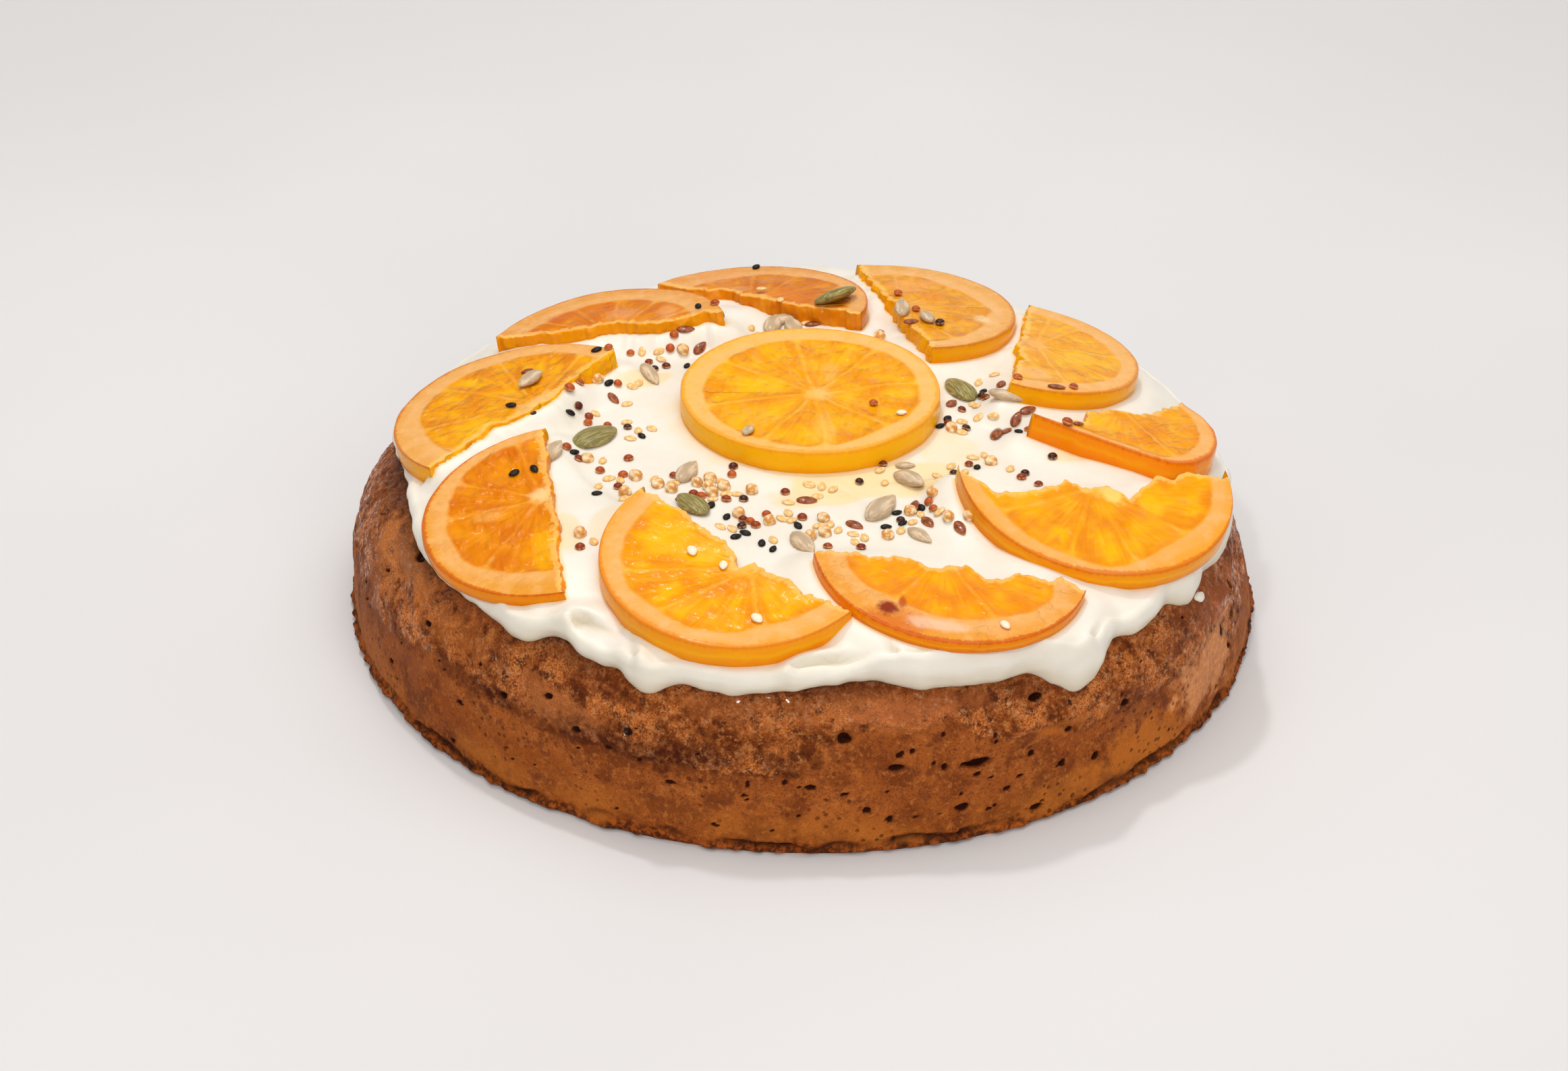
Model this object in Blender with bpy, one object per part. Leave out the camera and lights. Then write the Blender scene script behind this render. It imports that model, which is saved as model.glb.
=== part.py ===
"""A round orange cake: one browned sponge, a layer of white icing spread over its top,
a whole candied orange slice in the middle, ten half slices in a turning ring round it,
and seeds scattered over the icing.

Sizes below are in millimetres and degrees, and meshes are made in metres. +Z is up, and the
origin is the middle of the flat underside. Azimuth 0 is +X, 90 is +Y, and -90 faces the viewer.
"""

import math
import random

import bmesh
import bpy
from mathutils import Matrix, Vector
from mathutils.bvhtree import BVHTree

MM = 0.001

# Sponge: a superellipse turned round Z, squarer at the front and rounder at the back.
CAKE_RADIUS = 117.3
CAKE_HEIGHT = 45.5
FRONT_EXPONENTS = (12.0, 2.7)
BACK_EXPONENTS = (7.0, 2.0)
BACK_BEGINS = (-40.0, 8.0)
BACK_ENDS = (195.0, 160.0)
OUT_OF_ROUND = 0.3
FOOT_LIP = 0.5
FOOT_INSET = 1.0
FOOT_CREASE = 0.9
FOOT_TOP = 3.2
WALL_START = 6.0
WALL_RINGS = 8
SECTORS = 72

# Dents (negative) and lumps in the wall: azimuth, height, half width in degrees, half height, depth.
WALL_RELIEF = (
    (0, 20, 42, 16, -1.5),
    (-14, 24, 6, 14, -1.6),
    (-23, 30, 6, 7, 1.2),
    (-62, 26, 12, 7, 0.9),
    (-88, 29, 14, 6, -0.9),
    (-108, 22, 10, 9, 0.7),
    (-131, 28, 9, 8, -0.9),
    (-152, 33, 7, 7, -1.8),
    (-170, 24, 6, 14, 0.9),
    (172, 20, 5, 14, -1.2),
    (140, 24, 14, 10, 0.8),
    (118, 20, 8, 12, -1.0),
    (84, 26, 15, 9, 0.9),
    (55, 22, 8, 10, -1.1),
    (30, 27, 9, 8, 0.8),
)

# Icing: its edge on the sponge, as a mean radius and lobes of azimuth, half width, reach.
ICING_RADIUS = 106.7
ICING_TURN = (-55.0, 2.4)
ICING_LOBES = (
    (-164, 18, -4.6),
    (-127, 8, 1.1),
    (-121, 5, -2.1),
    (-108, 5, 2.6),
    (-99, 8, 0.8),
    (-84, 12, -2.8),
    (-55, 8, 4.6),
    (-44, 5, 0.7),
    (-33, 5, 2.2),
    (-20, 9, 1.6),
    (18, 14, -1.3),
    (46, 12, 0.8),
    (75, 13, -1.2),
    (104, 12, 1.0),
    (133, 14, -0.6),
    (156, 9, 1.4),
)
ICING_MIDDLE = 4.5
ICING_EDGE = 3.0
ICING_LEAST = 0.6
# Thicker swirls along the edge: azimuth, half width, extra thickness.
ICING_SWIRLS = (
    (-128, 12, 1.6),
    (-108, 7, 1.4),
    (-66, 13, 1.6),
    (-55, 7, 1.8),
    (-34, 6, 1.2),
    (92, 14, 1.2),
)
ICING_MOUND = (-20, 50, 9, 3.0)
ICING_RINGS = (0.12, 0.24, 0.36, 0.47, 0.57, 0.66, 0.74, 0.81, 0.87, 0.92, 0.96, 0.988)
SPONGE_RINGS = (0.35, 0.62, 0.80, 0.90, 0.96, 1.0)
ICING_BULGE = 0.8
GAP = 0.35
# How far outside a slice the icing still rises to it, and is still kept under its plane.
FILL_REACH = 10.0
PRESS_REACH = 14.0

# One slice is trimmed to a wedge: its rim from end to end, as places towards the rind and along.
TRIMMED_RIM = (
    (0.0, 22.6),
    (8.7, 23.9),
    (15.6, 22.8),
    (21.5, 20.0),
    (26.4, 14.9),
    (29.2, 8.2),
    (28.4, 2.3),
    (19.2, -6.7),
    (9.7, -14.8),
    (0.0, -22.5),
)
# Half slices lie on the icing: the middle of the round slice that each was cut from, its top's
# height there, its radius or its rim, the way it leans down and by how much, the way its rind
# faces, how far the torn edge lies from that middle, its thickness, and bites in the torn edge,
# each as its place along the edge (-1 to 1), half width and depth (negative where it bulges).
SLICES = {
    "slice_front_left": (
        -13.8, -74.5, 55.3, 32.9, -100, 9.1, -131, -0.9, 6.6,
        ((-0.06, 3.2, 5.0), (0.5, 12, 2.2)),
    ),
    "slice_left_front": (
        -58.9, -53.4, 52.8, 32.2, -135, 10.5, -171, 0.4, 3.8,
        ((0.1, 5, 0.8), (-0.5, 6, -0.8)),
    ),
    "slice_left": (
        -70.6, -9.4, 55.5, 33.6, 177, 9.0, 142, 0.4, 5.8,
        ((-0.1, 22, -3.4), (0.35, 4, 1.5)),
    ),
    "slice_back_left": (
        -53.3, 30.2, 55.6, 31.7, 154, 10.0, 90, 7.6, 5.4,
        ((0.3, 9, -0.8), (-0.45, 13, -3.4)),
    ),
    "slice_back": (
        -16.0, 51.5, 55.3, 32.0, 111, 8.7, 63, 4.3, 5.6,
        ((0.35, 8, 2.2), (-0.4, 7, -1.4)),
    ),
    "slice_back_right": (
        24.6, 52.9, 55.1, 31.6, 62, 7.5, 18, -1.6, 5.0,
        ((0.1, 5, 1.0), (-0.5, 5, -0.8)),
    ),
    "slice_right_back": (
        58.0, 32.0, 54.8, 30.5, 30, 12.0, -8, -1.5, 5.2,
        ((0.0, 4, -1.3), (-0.35, 3, 1.6)),
    ),
    "slice_right": (
        76.5, -2.8, 55.3, TRIMMED_RIM, 10, 9.0, -63.8, 0.0, 7.2,
        ((0.45, 7, 4.4), (-0.58, 8, 3.6)),
    ),
    "slice_right_front": (
        70.6, -39.8, 56.4, 33.6, -58, 13.0, -81, -3.4, 5.4,
        ((-0.63, 6, 5.2), (-0.09, 3.2, 2.8), (0.26, 4.6, 6.4)),
    ),
    "slice_front_right": (
        34.8, -71.1, 52.8, 32.2, -41, 7.2, -93, 5.9, 3.2,
        ((0.0, 24, -3.0), (-0.13, 3.5, 2.6), (0.36, 4, 2.6)),
    ),
}
WHOLE_SLICE = ("slice_middle", 1.1, 1.1, 56.9, 33.0, 6.4)
ARC_STEPS = 20
TORN_STEPS = 11
WHOLE_STEPS = 40
TEAR = 0.45
RIM_ROUNDING = 0.8

# Seeds and grains: length, width, height, and how many sides and rings their solids have.
KINDS = {
    "pumpkin": (13.5, 8.2, 3.0, 8, 4),
    "sunflower": (9.5, 5.4, 3.0, 6, 4),
    "linseed": (4.9, 2.7, 1.5, 5, 4),
    "puffed": (3.4, 3.1, 2.7, 5, 4),
    "quinoa": (2.4, 2.3, 2.0, 5, 4),
    "sesame": (3.0, 1.9, 1.2, 5, 4),
    "black_sesame": (3.0, 1.8, 1.3, 5, 4),
}
SUNK = 0.32
# The larger seeds, each by kind, x, y and heading of its long side.
LARGE_SEEDS = (
    ("pumpkin", -52.5, -16, 45),
    ("pumpkin", 40.5, 13, -64),
    ("pumpkin", -23, -45, 150),
    ("sunflower", -41, 16, -62),
    ("sunflower", -57, -26, 70),
    ("sunflower", -28.5, -32, 72),
    ("sunflower", 26, -34, -60),
    ("sunflower", 18.5, -48, 58),
    ("sunflower", 28.5, -58.5, -45),
    ("sunflower", 0.5, -61.5, -62),
    ("sunflower", 45.5, 1.5, -8),
    ("sunflower", -9.5, 45.5, 80),
    ("sunflower", -4, 43.5, 112),
    ("linseed", 1, -44, 0),
    ("linseed", 12.5, -55, -38),
    ("linseed", 30, -52, -60),
    ("linseed", 36, -54, -72),
    ("linseed", 27, -45.5, 80),
    ("linseed", 48, -9, 85),
    ("linseed", 51.5, -6.5, 70),
    ("linseed", 50.5, 13.5, 80),
    ("linseed", -49.5, 5, -50),
    ("linseed", -29, 30, 60),
    ("linseed", -34, 34, 5),
    ("linseed", 24.5, 34, 35),
    ("linseed", -30, -40, 30),
    ("linseed", 46.5, 19.5, 100),
)
# Where the small grains lie thick: middle x, y, spread, how many.
CLUSTERS = (
    (-38, 25, 4.5, 6),
    (-49, 11, 6.0, 8),
    (-56, -5, 4.5, 6),
    (-43, -11, 4.0, 6),
    (-55, -25, 4.0, 4),
    (-46, -38, 6.0, 11),
    (-33, -37, 3.5, 5),
    (-21, -40, 4.6, 16),
    (-13, -56, 4.4, 13),
    (-3, -51, 5.5, 7),
    (5, -57, 4.5, 7),
    (4, -40, 4.0, 5),
    (13, -61, 3.5, 4),
    (23, -53, 4.5, 9),
    (33, -47, 4.5, 9),
    (19, -33, 3.5, 4),
    (36, -30, 4.0, 4),
    (45, -22, 5.5, 6),
    (37, -6, 2.6, 5),
    (45, 7, 4.0, 5),
    (52, -1, 4.5, 6),
    (49, 18, 3.0, 3),
    (-37, 32, 5.0, 7),
    (-8, 42, 6.0, 8),
    (14, 38, 4.5, 5),
    (-51, -64, 5.0, 3),
)
GRAINS = (("quinoa", 10), ("sesame", 12), ("black_sesame", 6), ("puffed", 5))
GRAIN_SEED = 11
GRAIN_TRIES = 40
EVERY_GRAIN = 3

# Grains that lie on a slice: the slice, the kind, its place towards the rind and along the torn
# edge from the middle of the round, and its heading.
ON_SLICES = (
    ("slice_middle", "quinoa", 16, -8, 20),
    ("slice_middle", "sunflower", -14, -22, 70),
    ("slice_left", "sunflower", 8, -10, 100),
    ("slice_left", "black_sesame", 4, -29, 60),
    ("slice_left", "black_sesame", 3, 2, 20),
    ("slice_left", "quinoa", -1.5, -13, 0),
    ("slice_left_front", "black_sesame", 9, -16, 30),
    ("slice_left_front", "black_sesame", 4, -16, 110),
    ("slice_front_left", "sesame", 8, -8, 60),
    ("slice_front_left", "sesame", 7.5, 1, 40),
    ("slice_front_left", "sesame", 15, 19, 80),
    ("slice_back_right", "quinoa", 2, 7, 0),
    ("slice_back_right", "quinoa", 3.5, -5, 0),
    ("slice_back_right", "quinoa", 6, -16, 0),
    ("slice_back_right", "sunflower", 3.5, -11, 90),
    ("slice_right", "quinoa", 7.5, -13.5, 0),
    ("slice_back", "pumpkin", 11.5, -20.5, -15),
)

CRUST_BROWN = (0.20, 0.072, 0.028)
ICING_WHITE = (0.90, 0.86, 0.76)
CANDIED_ORANGE = (0.90, 0.38, 0.035)


def ramp(start, end, value):
    """0 at start and before it, 1 at end and past it, with a smooth rise between."""
    share = min(max((value - start) / (end - start), 0.0), 1.0)
    return share * share * (3.0 - 2.0 * share)


def bump(offset, half_width):
    """1 in the middle of a raised cosine, 0 from half_width on."""
    return 0.5 + 0.5 * math.cos(math.pi * min(abs(offset) / half_width, 1.0))


def turn_between(a, b):
    """Smallest angle from azimuth a to b, in degrees."""
    return (b - a + 180.0) % 360.0 - 180.0


def roundness(azimuth):
    """0 where the sponge's shoulder is square, 1 at the back where it is round."""
    turn = (azimuth + 90.0) % 360.0 - 90.0
    return ramp(*BACK_BEGINS, turn) * ramp(*BACK_ENDS, turn)


def exponents(azimuth):
    share = roundness(azimuth)
    return tuple(f + (b - f) * share for f, b in zip(FRONT_EXPONENTS, BACK_EXPONENTS))


def sponge_top(radius, azimuth):
    across, up = exponents(azimuth)
    return CAKE_HEIGHT * max(1.0 - (radius / CAKE_RADIUS) ** across, 0.0) ** (1.0 / up)


def sponge_wall(height, azimuth):
    across, up = exponents(azimuth)
    return CAKE_RADIUS * (1.0 - (height / CAKE_HEIGHT) ** up) ** (1.0 / across)


def icing_edge(azimuth):
    towards, amount = ICING_TURN
    lobes = sum(reach * bump(turn_between(at, azimuth), half) for at, half, reach in ICING_LOBES)
    return ICING_RADIUS + amount * math.cos(math.radians(azimuth - towards)) + lobes


def wall_relief(azimuth, height):
    return sum(
        depth * bump(turn_between(at, azimuth), half) * bump(height - level, tall)
        for at, level, half, tall, depth in WALL_RELIEF
    )


def foot_radius(azimuth):
    """The widest ring, the same on opposite sides, which keeps the origin in the middle."""
    return CAKE_RADIUS + FOOT_LIP + OUT_OF_ROUND * (
        math.cos(math.radians(2 * azimuth - 30)) + 0.6 * math.cos(math.radians(6 * azimuth + 40))
    )


def on_circle(radius, azimuth, height):
    turn = math.radians(azimuth)
    return Vector((radius * math.cos(turn), radius * math.sin(turn), height))


def on_sponge(radius, azimuth, above=0.0):
    return on_circle(radius, azimuth, sponge_top(radius, azimuth) + above)


def azimuths():
    return [360.0 * step / SECTORS - 180.0 for step in range(SECTORS)]


def material(name, colour, roughness, coat=0.0):
    made = bpy.data.materials.new(name)
    made.use_nodes = True
    shader = made.node_tree.nodes["Principled BSDF"]
    shader.inputs["Base Color"].default_value = (*colour, 1.0)
    shader.inputs["Roughness"].default_value = roughness
    shader.inputs["Coat Weight"].default_value = coat
    return made


def new_object(name, bm, finish):
    """Closes a bmesh that is in millimetres into an object in metres."""
    bmesh.ops.triangulate(bm, faces=bm.faces[:])
    bmesh.ops.recalc_face_normals(bm, faces=bm.faces[:])
    bmesh.ops.scale(bm, vec=(MM, MM, MM), verts=bm.verts[:])
    mesh = bpy.data.meshes.new(name)
    bm.to_mesh(mesh)
    bm.free()
    mesh.shade_smooth()
    mesh.set_sharp_from_angle(angle=math.radians(50))
    mesh.materials.append(finish)
    made = bpy.data.objects.new(name, mesh)
    bpy.context.scene.collection.objects.link(made)
    return made


def skin_rings(bm, rings):
    """Joins rings of the same number of vertices, each to the next."""
    for low, high in zip(rings, rings[1:]):
        for step in range(len(low)):
            after = (step + 1) % len(low)
            bm.faces.new((low[step], low[after], high[after], high[step]))


def cap_with_point(bm, ring, point):
    middle = bm.verts.new(point)
    for step in range(len(ring)):
        bm.faces.new((ring[step], ring[(step + 1) % len(ring)], middle))


def make_sponge(finish):
    bm = bmesh.new()
    around = azimuths()
    rings = [
        [on_circle(foot_radius(a) - FOOT_INSET, a, 0.0) for a in around],
        [on_circle(foot_radius(a), a, FOOT_TOP * 0.4) for a in around],
        [on_circle(foot_radius(a) - FOOT_CREASE, a, FOOT_TOP) for a in around],
    ]
    for step in range(WALL_RINGS):
        ring = []
        for a in around:
            edge_height = sponge_top(icing_edge(a), a)
            height = WALL_START + (edge_height - WALL_START) * step / WALL_RINGS
            fade = ramp(edge_height - 1.0, edge_height - 7.0, height) * ramp(3.0, 9.0, height)
            radius = sponge_wall(height, a) + fade * wall_relief(a, height)
            ring.append(on_circle(radius, a, height))
        rings.append(ring)
    for share in reversed(SPONGE_RINGS):
        rings.append([on_sponge(icing_edge(a) * share, a) for a in around])
    rings = [[bm.verts.new(point) for point in ring] for ring in rings]
    bm.faces.new(rings[0])
    skin_rings(bm, rings)
    cap_with_point(bm, rings[-1], (0, 0, CAKE_HEIGHT))
    return new_object("cake", bm, finish)


def torn_edge(start, end, cut, bites, draw):
    """Points of a torn edge between two places along it, without the two ends."""
    points = []
    half = 0.5 * (end - start)
    for step in range(1, TORN_STEPS):
        along = start + (end - start) * step / TORN_STEPS
        out = cut + sum(depth * bump(along - at * half, width) for at, width, depth in bites)
        points.append((out + draw.uniform(-TEAR, TEAR), along))
    return points


def slice_outline(rim, cut, bites, draw):
    """Outline of a slice, as places towards the rind and along the torn edge."""
    if cut is None:
        turns = [2 * math.pi * step / WHOLE_STEPS for step in range(WHOLE_STEPS)]
        return [(rim * math.cos(turn), rim * math.sin(turn)) for turn in turns]
    if isinstance(rim, tuple):
        arc = list(rim)
    else:
        half_turn = math.acos(cut / rim)
        turns = [half_turn * (1.0 - 2.0 * step / ARC_STEPS) for step in range(ARC_STEPS + 1)]
        arc = [(rim * math.cos(turn), rim * math.sin(turn)) for turn in turns]
    return arc + torn_edge(arc[-1][1], arc[0][1], cut, bites, draw)


def distance_outside(outline, point):
    """How far a point lies outside a closed outline, 0 within it."""
    px, py = point
    nearest = math.inf
    inside = False
    for (ax, ay), (bx, by) in zip(outline, outline[1:] + outline[:1]):
        dx, dy = bx - ax, by - ay
        share = min(max(((px - ax) * dx + (py - ay) * dy) / (dx * dx + dy * dy), 0.0), 1.0)
        nearest = min(nearest, math.hypot(px - ax - share * dx, py - ay - share * dy))
        if (ay > py) != (by > py) and px < ax + (py - ay) * dx / dy:
            inside = not inside
    return 0.0 if inside else nearest


class Slab:
    """The place of one candied slice: its plane and its outline in that plane."""

    def __init__(self, name, x, y, top, rim, lean_to, lean, faces, cut, thick, bites):
        slope = math.tan(math.radians(lean))
        lean_turn = math.radians(lean_to)
        self.up = Vector((slope * math.cos(lean_turn), slope * math.sin(lean_turn), 1.0)).normalized()
        facing = Vector((math.cos(math.radians(faces)), math.sin(math.radians(faces)), 0.0))
        self.out = (facing - self.up * facing.dot(self.up)).normalized()
        self.along = self.up.cross(self.out)
        self.middle = Vector((x, y, top))
        self.thick = thick
        self.outline = slice_outline(rim, cut, bites, random.Random(name))

    def height(self, x, y, depth):
        """Height of the plane that lies depth under the top face, above a place in plan."""
        base = self.middle - self.up * depth
        return base.z - (self.up.x * (x - base.x) + self.up.y * (y - base.y)) / self.up.z

    def outside(self, x, y):
        """How far a place in plan lies outside the slice's underside, 0 within it."""
        offset = Vector((x, y, self.height(x, y, self.thick))) - self.middle
        return distance_outside(self.outline, (offset.dot(self.out), offset.dot(self.along)))

    def matrix(self):
        turn = Matrix((self.out, self.along, self.up)).transposed().to_4x4()
        return Matrix.Translation(self.middle * MM) @ turn


def make_slice(name, slab, finish):
    bm = bmesh.new()
    middle_out = sum(out for out, _ in slab.outline) / len(slab.outline)
    middle_along = sum(along for _, along in slab.outline) / len(slab.outline)
    rings = []
    for inset, level in ((1, -slab.thick), (0, RIM_ROUNDING - slab.thick), (0, -RIM_ROUNDING), (1, 0.0)):
        ring = []
        for out, along in slab.outline:
            reach = math.hypot(out - middle_out, along - middle_along)
            keep = 1.0 - inset * RIM_ROUNDING * 0.7 / max(reach, 4.0)
            ring.append(bm.verts.new((
                middle_out + (out - middle_out) * keep,
                middle_along + (along - middle_along) * keep,
                level,
            )))
        rings.append(ring)
    skin_rings(bm, rings)
    bm.faces.new(rings[0])
    bm.faces.new(rings[-1])
    made = new_object(name, bm, finish)
    made.matrix_world = slab.matrix()
    return made


def icing_thickness(share, azimuth):
    """Depth of icing at a share of the way from the middle to its edge."""
    swirl = sum(more * bump(turn_between(at, azimuth), half) for at, half, more in ICING_SWIRLS)
    edge = ICING_EDGE + swirl
    depth = ICING_MIDDLE + (edge - ICING_MIDDLE) * ramp(0.78, 0.95, share)
    return depth * (1.0 - 0.25 * ramp(0.965, 1.0, share))


def icing_top(share, azimuth, slabs):
    """Height of the icing: spread freely, raised to fill under the slices and pressed flat below them."""
    place = on_circle(icing_edge(azimuth) * share, azimuth, 0.0)
    sponge = sponge_top(place.length, azimuth) + GAP
    mound_x, mound_y, mound_width, mound_height = ICING_MOUND
    away = math.hypot(place.x - mound_x, place.y - mound_y) / mound_width
    free = sponge + icing_thickness(share, azimuth) + mound_height * math.exp(-away * away)
    height = free
    ceiling = math.inf
    for slab in slabs:
        outside = slab.outside(place.x, place.y)
        under = slab.height(place.x, place.y, slab.thick) - GAP
        height = max(height, free + (under - free) * ramp(FILL_REACH, 0.0, outside))
        if outside < PRESS_REACH:
            ceiling = min(ceiling, under)
    return max(min(height, ceiling), sponge + ICING_LEAST)


def make_icing(slabs, finish):
    bm = bmesh.new()
    around = azimuths()
    rings = []
    for share in SPONGE_RINGS:
        rings.append([on_sponge(icing_edge(a) * share, a, GAP) for a in around])
    rim = []
    for a in around:
        edge = icing_edge(a)
        low = sponge_top(edge, a) + GAP
        rim.append(on_circle(edge + ICING_BULGE, a, low + 0.35 * icing_thickness(1.0, a)))
    rings.append(rim)
    for share in reversed(ICING_RINGS):
        rings.append([on_circle(icing_edge(a) * share, a, icing_top(share, a, slabs)) for a in around])
    rings = [[bm.verts.new(point) for point in ring] for ring in rings]
    skin_rings(bm, rings)
    cap_with_point(bm, rings[0], (0, 0, CAKE_HEIGHT + GAP))
    cap_with_point(bm, rings[-1], (0, 0, icing_top(0.0, 0.0, slabs)))
    return new_object("icing", bm, finish)


def grain_places(slabs):
    """Every seed on the icing, as kind, x, y, heading: the large ones, then the clusters' draws."""
    draw = random.Random(GRAIN_SEED)
    kinds = [kind for kind, _ in GRAINS]
    weights = [weight for _, weight in GRAINS]
    placed = list(LARGE_SEEDS)
    for middle_x, middle_y, spread, count in CLUSTERS:
        for _ in range(count):
            for _ in range(GRAIN_TRIES):
                x = draw.gauss(middle_x, spread * 0.6)
                y = draw.gauss(middle_y, spread * 0.6)
                kind = draw.choices(kinds, weights)[0]
                heading = draw.uniform(0, 180)
                size = KINDS[kind][0]
                clear_of_slices = all(slab.outside(x, y) > 0.5 * size + 0.9 for slab in slabs)
                clear_of_seeds = all(
                    math.hypot(x - seed_x, y - seed_y) > 0.45 * (size + KINDS[seed_kind][1])
                    for seed_kind, seed_x, seed_y, _ in placed
                )
                if clear_of_slices and clear_of_seeds:
                    placed.append((kind, x, y, heading))
                    break
    return placed


def make_seed(kind, frame, finish):
    """One seed, its long side along the frame's X, sunk a little below the frame's XY plane."""
    length, width, height, sides, rings = KINDS[kind]
    bm = bmesh.new()
    bmesh.ops.create_uvsphere(bm, u_segments=sides, v_segments=rings, radius=0.5)
    for vertex in bm.verts:
        taper = 1.0 - 0.45 * vertex.co.x if kind in ("pumpkin", "sunflower", "linseed") else 1.0
        vertex.co = Vector((
            vertex.co.x * length,
            vertex.co.y * width * taper,
            (vertex.co.z + 0.5 - SUNK) * height,
        ))
    made = new_object("seed", bm, finish)
    made.matrix_world = frame
    return made


def surface_frame(tree, x, y, heading):
    """A frame on a surface below a place in plan, its Z along the surface's normal."""
    point, normal, _, _ = tree.ray_cast(Vector((x * MM, y * MM, 1.0)), Vector((0, 0, -1)))
    turn = math.radians(heading)
    forward = Vector((math.cos(turn), math.sin(turn), 0.0))
    forward = (forward - normal * forward.dot(normal)).normalized()
    turned = Matrix((forward, normal.cross(forward), normal)).transposed().to_4x4()
    return Matrix.Translation(point) @ turned


def fuse(base, seeds):
    """Joins the seeds to what they lie on with one Boolean union, and removes them."""
    pieces = bpy.data.collections.new("fused_seeds")
    bpy.context.scene.collection.children.link(pieces)
    for seed in seeds:
        bpy.context.scene.collection.objects.unlink(seed)
        pieces.objects.link(seed)
    union = base.modifiers.new("seeds", "BOOLEAN")
    union.operation = "UNION"
    union.operand_type = "COLLECTION"
    union.collection = pieces
    union.solver = "EXACT"
    with bpy.context.temp_override(object=base, active_object=base):
        bpy.ops.object.modifier_apply(modifier=union.name)
    for seed in seeds:
        bpy.data.objects.remove(seed)
    bpy.data.collections.remove(pieces)


def main():
    for item in list(bpy.data.objects):
        bpy.data.objects.remove(item)
    crust = material("crust", CRUST_BROWN, 0.55)
    white = material("icing", ICING_WHITE, 0.4)
    candied = material("candied_orange", CANDIED_ORANGE, 0.2, coat=0.6)

    name, x, y, top, radius, thick = WHOLE_SLICE
    slabs = {name: Slab(name, x, y, top, radius, 0, 0, 0, None, thick, ())}
    for name, sizes in SLICES.items():
        slabs[name] = Slab(name, *sizes)

    make_sponge(crust)
    icing = make_icing(slabs.values(), white)
    slices = {name: make_slice(name, slab, candied) for name, slab in slabs.items()}
    bpy.context.view_layer.update()

    graph = bpy.context.evaluated_depsgraph_get()
    surface = BVHTree.FromObject(icing, graph)
    places = grain_places(slabs.values())
    small = places[len(LARGE_SEEDS):]
    modelled = places[:len(LARGE_SEEDS)] + small[::EVERY_GRAIN]
    seeds = []
    for kind, x, y, heading in modelled:
        seeds.append(make_seed(kind, surface_frame(surface, x, y, heading), white))
    fuse(icing, seeds)

    for name, slab in slabs.items():
        seeds = []
        for _, kind, out, along, heading in [row for row in ON_SLICES if row[0] == name]:
            frame = slab.matrix() @ Matrix.Translation(Vector((out, along, 0)) * MM)
            seeds.append(make_seed(kind, frame @ Matrix.Rotation(math.radians(heading), 4, "Z"), candied))
        if seeds:
            bpy.context.view_layer.update()
            fuse(slices[name], seeds)


main()
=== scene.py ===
"""A round orange cake, dressed for rendering: browned sponge, white icing, candied orange slices
and scattered seeds. Sizes are in millimetres and degrees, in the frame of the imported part:
+Z is up, the origin is the middle of the underside, and azimuth -90 faces the viewer."""

import math
import random

import bpy
import numpy as np
from mathutils import Matrix, Vector
from mathutils.bvhtree import BVHTree


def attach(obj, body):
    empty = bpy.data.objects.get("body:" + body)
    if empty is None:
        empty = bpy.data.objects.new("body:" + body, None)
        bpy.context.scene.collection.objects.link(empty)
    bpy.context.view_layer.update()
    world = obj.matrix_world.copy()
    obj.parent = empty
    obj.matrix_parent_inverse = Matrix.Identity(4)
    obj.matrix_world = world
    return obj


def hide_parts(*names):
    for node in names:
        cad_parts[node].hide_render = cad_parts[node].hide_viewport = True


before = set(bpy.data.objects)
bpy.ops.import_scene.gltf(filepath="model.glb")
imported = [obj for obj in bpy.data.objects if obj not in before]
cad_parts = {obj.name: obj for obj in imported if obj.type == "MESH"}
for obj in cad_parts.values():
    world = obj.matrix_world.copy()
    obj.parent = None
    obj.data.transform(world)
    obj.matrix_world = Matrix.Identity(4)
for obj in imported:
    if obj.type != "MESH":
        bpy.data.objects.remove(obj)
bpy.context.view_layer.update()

# ------------------------------------------------------------------------------------------------
# Sponge. One deep round of moist orange batter, baked dark in a tin: a smooth tan side with the
# bubbles that burst against the tin, a lumpy, glossy brown shoulder above it, and a crumbly foot.
# It is a superellipse turned round Z, then pushed in and out by lumps, crags and pits.
# ------------------------------------------------------------------------------------------------
MM = 0.001
CAKE_RADIUS = 117.3
CAKE_HEIGHT = 45.5
# The superellipse's exponents, across and up, in front and at the back, and the azimuths between
# which the back's take over and give way again.
FRONT_EXPONENTS = (12.0, 2.7)
BACK_EXPONENTS = (7.0, 2.0)
BACK_BEGINS = (-40.0, 8.0)
BACK_ENDS = (195.0, 160.0)
OUT_OF_ROUND = 0.3
FOOT_LIP = 0.5
FOOT_INSET = 1.0
FOOT_TOP = 3.2
SPONGE_COLUMNS = 880
FOOT_ROWS = 13
SIDE_ROWS = 62
SIDE_START = 7.0
# Dents (negative) and lumps: azimuth, height, half width in degrees, half height, depth.
SIDE_RELIEF = (
    (0, 20, 42, 16, -1.5), (-14, 24, 6, 14, -1.6), (-23, 30, 6, 7, 1.2), (-62, 26, 12, 7, 0.9),
    (-88, 29, 14, 6, -0.9), (-108, 22, 10, 9, 0.7), (-131, 28, 9, 8, -0.9), (-152, 33, 7, 7, -1.8),
    (-170, 24, 6, 14, 0.9), (172, 20, 5, 14, -1.2), (140, 24, 14, 10, 0.8), (118, 20, 8, 12, -1.0),
    (84, 26, 15, 9, 0.9), (55, 22, 8, 10, -1.1), (30, 27, 9, 8, 0.8),
)
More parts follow.
